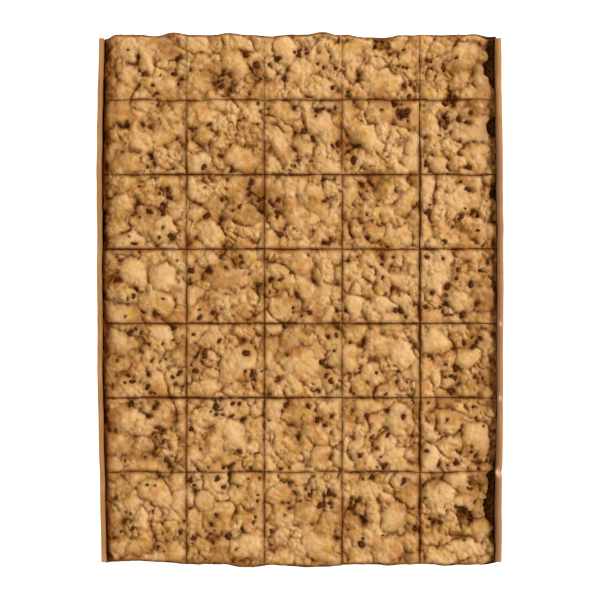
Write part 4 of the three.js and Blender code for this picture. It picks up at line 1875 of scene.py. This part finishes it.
@dataclass
class CardCase:
    """The folded board: a base, and two walls turned up and folded over double. Millimetres."""

    board: float = 1.6
    fold: float = 0.9
    padding: float = 0.85
    left_padding: float = 0.3
    corner: float = 1.3
    bow: float = 1.5
    lean: float = 2.2
    spread: float = 0.5
    slant: float = 1.7
    bulge: float = 0.8
    bulge_place: float = 115
    bulge_half: float = 60
    wall_waves: Waves = ((0.35, 38), (0.175, 11))
    crest_wave: float = 0.3
    crest_length: float = 27
    wall_zone: Span = (12, 4)
    outer_zone: Span = (3.2, 1.0)
    step: float = 4.0
    pink_span: Span = (-150, -105)
    nicks: tuple[Nick, ...] = (Nick(4, 1.4, 1.7, 0.4), Nick(5, 1.8, 1.9, 0.3), Nick(6, 5.0, 2.8, -1.4))
    node: str = "case"
    seed: int = 71
    half_width: float = field(init=False)
    half_length: float = field(init=False)
    height: float = field(init=False)
    noise: PlaneNoise = field(init=False)

    def __post_init__(self) -> None:
        """Reads the case's size from its solid."""
        low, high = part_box(self.node)
        self.half_width = (high.x - low.x) / 2 / MM - self.bow
        self.half_length = (high.y - low.y) / 2 / MM
        self.height = high.z / MM
        self.noise = PlaneNoise(self.seed)

    def _middle_line(self) -> Array:
        """Runs along the middle of the board, from the foot of one inner ply to that of the other.

        Returns:
            x and z of the points.
        """
        half = self.board / 2
        outer = self.half_width - half
        inner = outer - 2 * self.fold
        crest = self.height - half - self.fold
        turn = np.linspace(0, math.pi, 9)
        bend = np.linspace(math.pi, 1.5 * math.pi, 5)
        rise = np.linspace(self.board + half + 0.3, crest, 9)[:-1]
        down = np.linspace(crest, half + self.corner, 9)[1:-1]
        base = np.linspace(-outer + self.corner, outer - self.corner, 26)[1:-1]
        runs = [(np.full(len(rise), -inner), rise),
                (-(inner + outer) / 2 + self.fold * np.cos(turn), crest + self.fold * np.sin(turn)),
                (np.full(len(down), -outer), down),
                (-outer + self.corner + self.corner * np.cos(bend),
                 half + self.corner + self.corner * np.sin(bend))]
        left = np.concatenate([np.stack(run, -1) for run in runs])
        return np.concatenate([left, np.stack([base, np.full(len(base), half)], -1), left[::-1] * [-1, 1]])

    def _section(self) -> Array:
        """Gives the board its thickness: one side along its whole run, then the other side back.

        Returns:
            x and z of the closed outline.
        """
        line = self._middle_line()
        along = np.gradient(line, axis=0)
        along /= np.linalg.norm(along, axis=1)[:, None]
        across = np.stack([-along[:, 1], along[:, 0]], -1) * self.board / 2
        return np.concatenate([line + across, (line - across)[::-1]])

    def _facing(self, x: Array) -> Array:
        """Goes from 0 on a wall's outer ply to 1 on the one that faces the food."""
        return smoothstep(self.half_width - self.board / 2 - self.fold - np.abs(x), -0.6, 1.4)

    def _bent(self, x: Array, y: Array, z: Array) -> tuple[Array, Array]:
        """Bows and leans the walls, makes them uneven and nicks one of them.

        Args:
            x: Places across.
            y: Places along.
            z: Heights.

        Returns:
            The new x and z.
        """
        share = z / self.height
        side = np.sign(x)
        wall = smoothstep(np.abs(x), *(self.half_width - inset for inset in self.wall_zone))
        bowed = self.bow * (1 - (y / self.half_length) ** 2)
        uneven = share * self.noise.waves(y, 40 * side, self.wall_waves)
        bulge = -self.bulge * fall(y - self.bulge_place, self.bulge_half) * share
        leaning = self.spread - self.lean * (1 - share) - self.padding * self._facing(x)
        slanted = self.slant * smoothstep(-y, *SLANT_SPAN) + bulge + self.left_padding * self._facing(x)
        moved = x + wall * (side * bowed + uneven + np.where(x > 0, leaning, slanted))
        height = z + self.crest_wave * wall * share * self.noise.at(y, 90 + 40 * side, self.crest_length)
        outer = smoothstep(x, *(self.half_width - inset for inset in self.outer_zone))
        for nick in self.nicks:
            away = y - nick.place
            notch = nick.depth * (0.2 + 0.8 * outer) * fall(away, nick.half)
            cut = np.minimum(height, self.height - notch - 0.02 * (self.height - z))
            height = np.where(x > 0, cut, height)
            bent = nick.bend * (1 - 0.6 * outer) * wall * share ** 2 * fall(away, 1.3 * nick.half)
            moved = moved + np.where(x > 0, bent, 0)
        return moved, height

    def _marks_and_shade(self, x: Array, y: Array, z: Array) -> dict[str, Array]:
        """Works out where the board turns pinkish, gets grease and painted shade on its inner plies, and is
        torn.

        Args:
            x: Places across, before the walls are bent.
            y: Places along.
            z: Heights.

        Returns:
            The values, from 0 to 1, by name.
        """
        # the right wall turns pinkish brown towards -Y, above its foot
        pinking = np.where(x > 0, smoothstep(-y, *self.pink_span), 0.0) * smoothstep(z, 2, 9)
        pinkish_tone = np.clip(pinking * (0.75 + 0.35 * self.noise.at(y, z + 20, 18)), 0, 1) * 0.85
        # painted shade on the inner plies that face the food, more on the left, with grease soaked in from
        # the food
        soak_and_shade = self._facing(x) * smoothstep(z, 3, 6) * np.where(x > 0, 0.15, 0.45)
        torn = np.zeros(x.shape)
        crest = smoothstep(z, self.height - 5, self.height - 2)
        for nick in self.nicks:
            torn = np.maximum(torn, 0.6 * (x > 0) * crest * fall(y - nick.place, 1.2 * nick.half))
        return {"pinkish_tone": pinkish_tone.ravel(), "soak_and_shade": soak_and_shade.ravel(), "torn": torn.ravel()}

    def build(self, material: bpy.types.Material) -> bpy.types.Object:
        """Makes the case.

        Args:
            material: The finish.

        Returns:
            The closed piece.
        """
        section = self._section()
        count = len(section)
        lines = np.linspace(-self.half_length, self.half_length, round(2 * self.half_length / self.step) + 1)
        near = [nick.place + nick.half * np.linspace(-2, 2, 13) for nick in self.nicks]
        lines = np.unique(np.concatenate([lines, *near]))
        y, x = np.meshgrid(lines, section[:, 0], indexing="ij")
        z = np.broadcast_to(section[:, 1], x.shape)
        moved, height = self._bent(x, y, z)
        points = np.stack([moved, y, height], -1).reshape(-1, 3)
        numbers = np.arange(points.shape[0]).reshape(x.shape)
        following = np.roll(numbers, -1, axis=1)
        corners = [numbers[:-1], following[:-1], following[1:], numbers[1:]]
        faces = np.stack(corners, -1).reshape(-1, 4).tolist()
        for end, order in ((numbers[0], -1), (numbers[-1], 1)):
            front, back = end[:count // 2], end[:count // 2 - 1:-1]
            cap = np.stack([front[:-1], front[1:], back[1:], back[:-1]], -1)
            faces += cap[:, ::order].tolist()
        return mesh_object("card_case", points, faces, material, self._marks_and_shade(x, y, z), 40)


@dataclass(frozen=True)
class Lamp:
    """A square soft light that faces the slab: its place and size in metres, and its power in watts."""

    name: str
    place: Triple
    size: float
    power: float

    def build(self) -> None:
        """Places the light."""
        light = bpy.data.lights.new(self.name, "AREA")
        light.size = self.size
        light.energy = self.power
        lamp = bpy.data.objects.new(self.name, light)
        lamp.location = self.place
        lamp.rotation_euler = (-lamp.location).to_track_quat("-Z", "Y").to_euler()
        bpy.context.scene.collection.objects.link(lamp)


@dataclass
class Studio:
    """A white table, soft light from the right, and a camera that looks straight down. Millimetres."""

    frame_width: float = 462.7
    focus_height: float = 27
    distance: float = 1700
    centre_y: float = 0.1
    sensor: float = 36
    floor_size: float = 30000
    floor_level: float = -0.2
    room: str = "#fff0be"
    room_strength: float = 0.58
    lamps: tuple[Lamp, ...] = (
        Lamp("key", (3.3, 1.5, 2.45), 1.5, 196.0), Lamp("fill", (-3.0, -0.6, 1.6), 2.0, 30.0),
    )

    def build(self, floor_material: bpy.types.Material) -> None:
        """Places the floor, lights and camera.

        Args:
            floor_material: The floor's finish.
        """
        scene = bpy.context.scene
        scene.view_settings.view_transform = "Standard"
        half = self.floor_size / 2
        corners = [(-half, -half), (half, -half), (half, half), (-half, half)]
        points = np.array([(*corner, self.floor_level) for corner in corners])
        mesh_object("floor", points, [[0, 1, 2, 3]], floor_material)
        data = bpy.data.cameras.new("camera")
        data.sensor_width = self.sensor
        data.lens = self.sensor * self.distance / self.frame_width
        camera = bpy.data.objects.new("camera", data)
        camera.location = (0, self.centre_y * MM, (self.distance + self.focus_height) * MM)
        scene.collection.objects.link(camera)
        scene.camera = camera
        world = bpy.data.worlds.new("soft_room")
        world.use_nodes = True
        background = world.node_tree.nodes["Background"].inputs
        background["Color"].default_value = linear(self.room)
        background["Strength"].default_value = self.room_strength
        scene.world = world
        for lamp in self.lamps:
            lamp.build()


def main() -> None:
    """Builds the portions, the chips and crumbs, the case and the studio, in that order."""
    logging.basicConfig(level=logging.INFO, format="%(name)s: %(message)s")
    places = [(row, column) for row in range(1, ROWS + 1) for column in range(1, COLUMNS + 1)]
    dough = Dough(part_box("portion_r4_c1")[0].x / MM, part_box(f"portion_r4_c{COLUMNS}")[1].x / MM)
    portions = [Portion(row, column, dough) for row, column in places]
    chips = ChipScatter(dough)
    for portion in portions:
        chips.fill(portion.low, portion.high, portion.edges)
    cookie, brownie = CookieDough().material(), BrownieCrumb().material()
    for portion in portions:
        declare(portion.build_cookie(chips, cookie), Slot.COOKIE, portion.node)
        declare(portion.build_brownie(brownie), Slot.BROWNIE, portion.node)
    declare(chips.build(ScatterTree(Bit.CHUNK), DarkChocolate().material()), Slot.CHOCOLATE)
    crumbs = LooseCrumbs([portion for portion in portions if portion.column == COLUMNS])
    declare(crumbs.build(ScatterTree(Bit.CRUMB), brownie), Slot.BROWNIE)
    case = CardCase()
    declare(case.build(KraftCard().material()), Slot.CARD, case.node)
    Studio().build(PaleFloor().material())


if __name__ == "__main__":
    main()
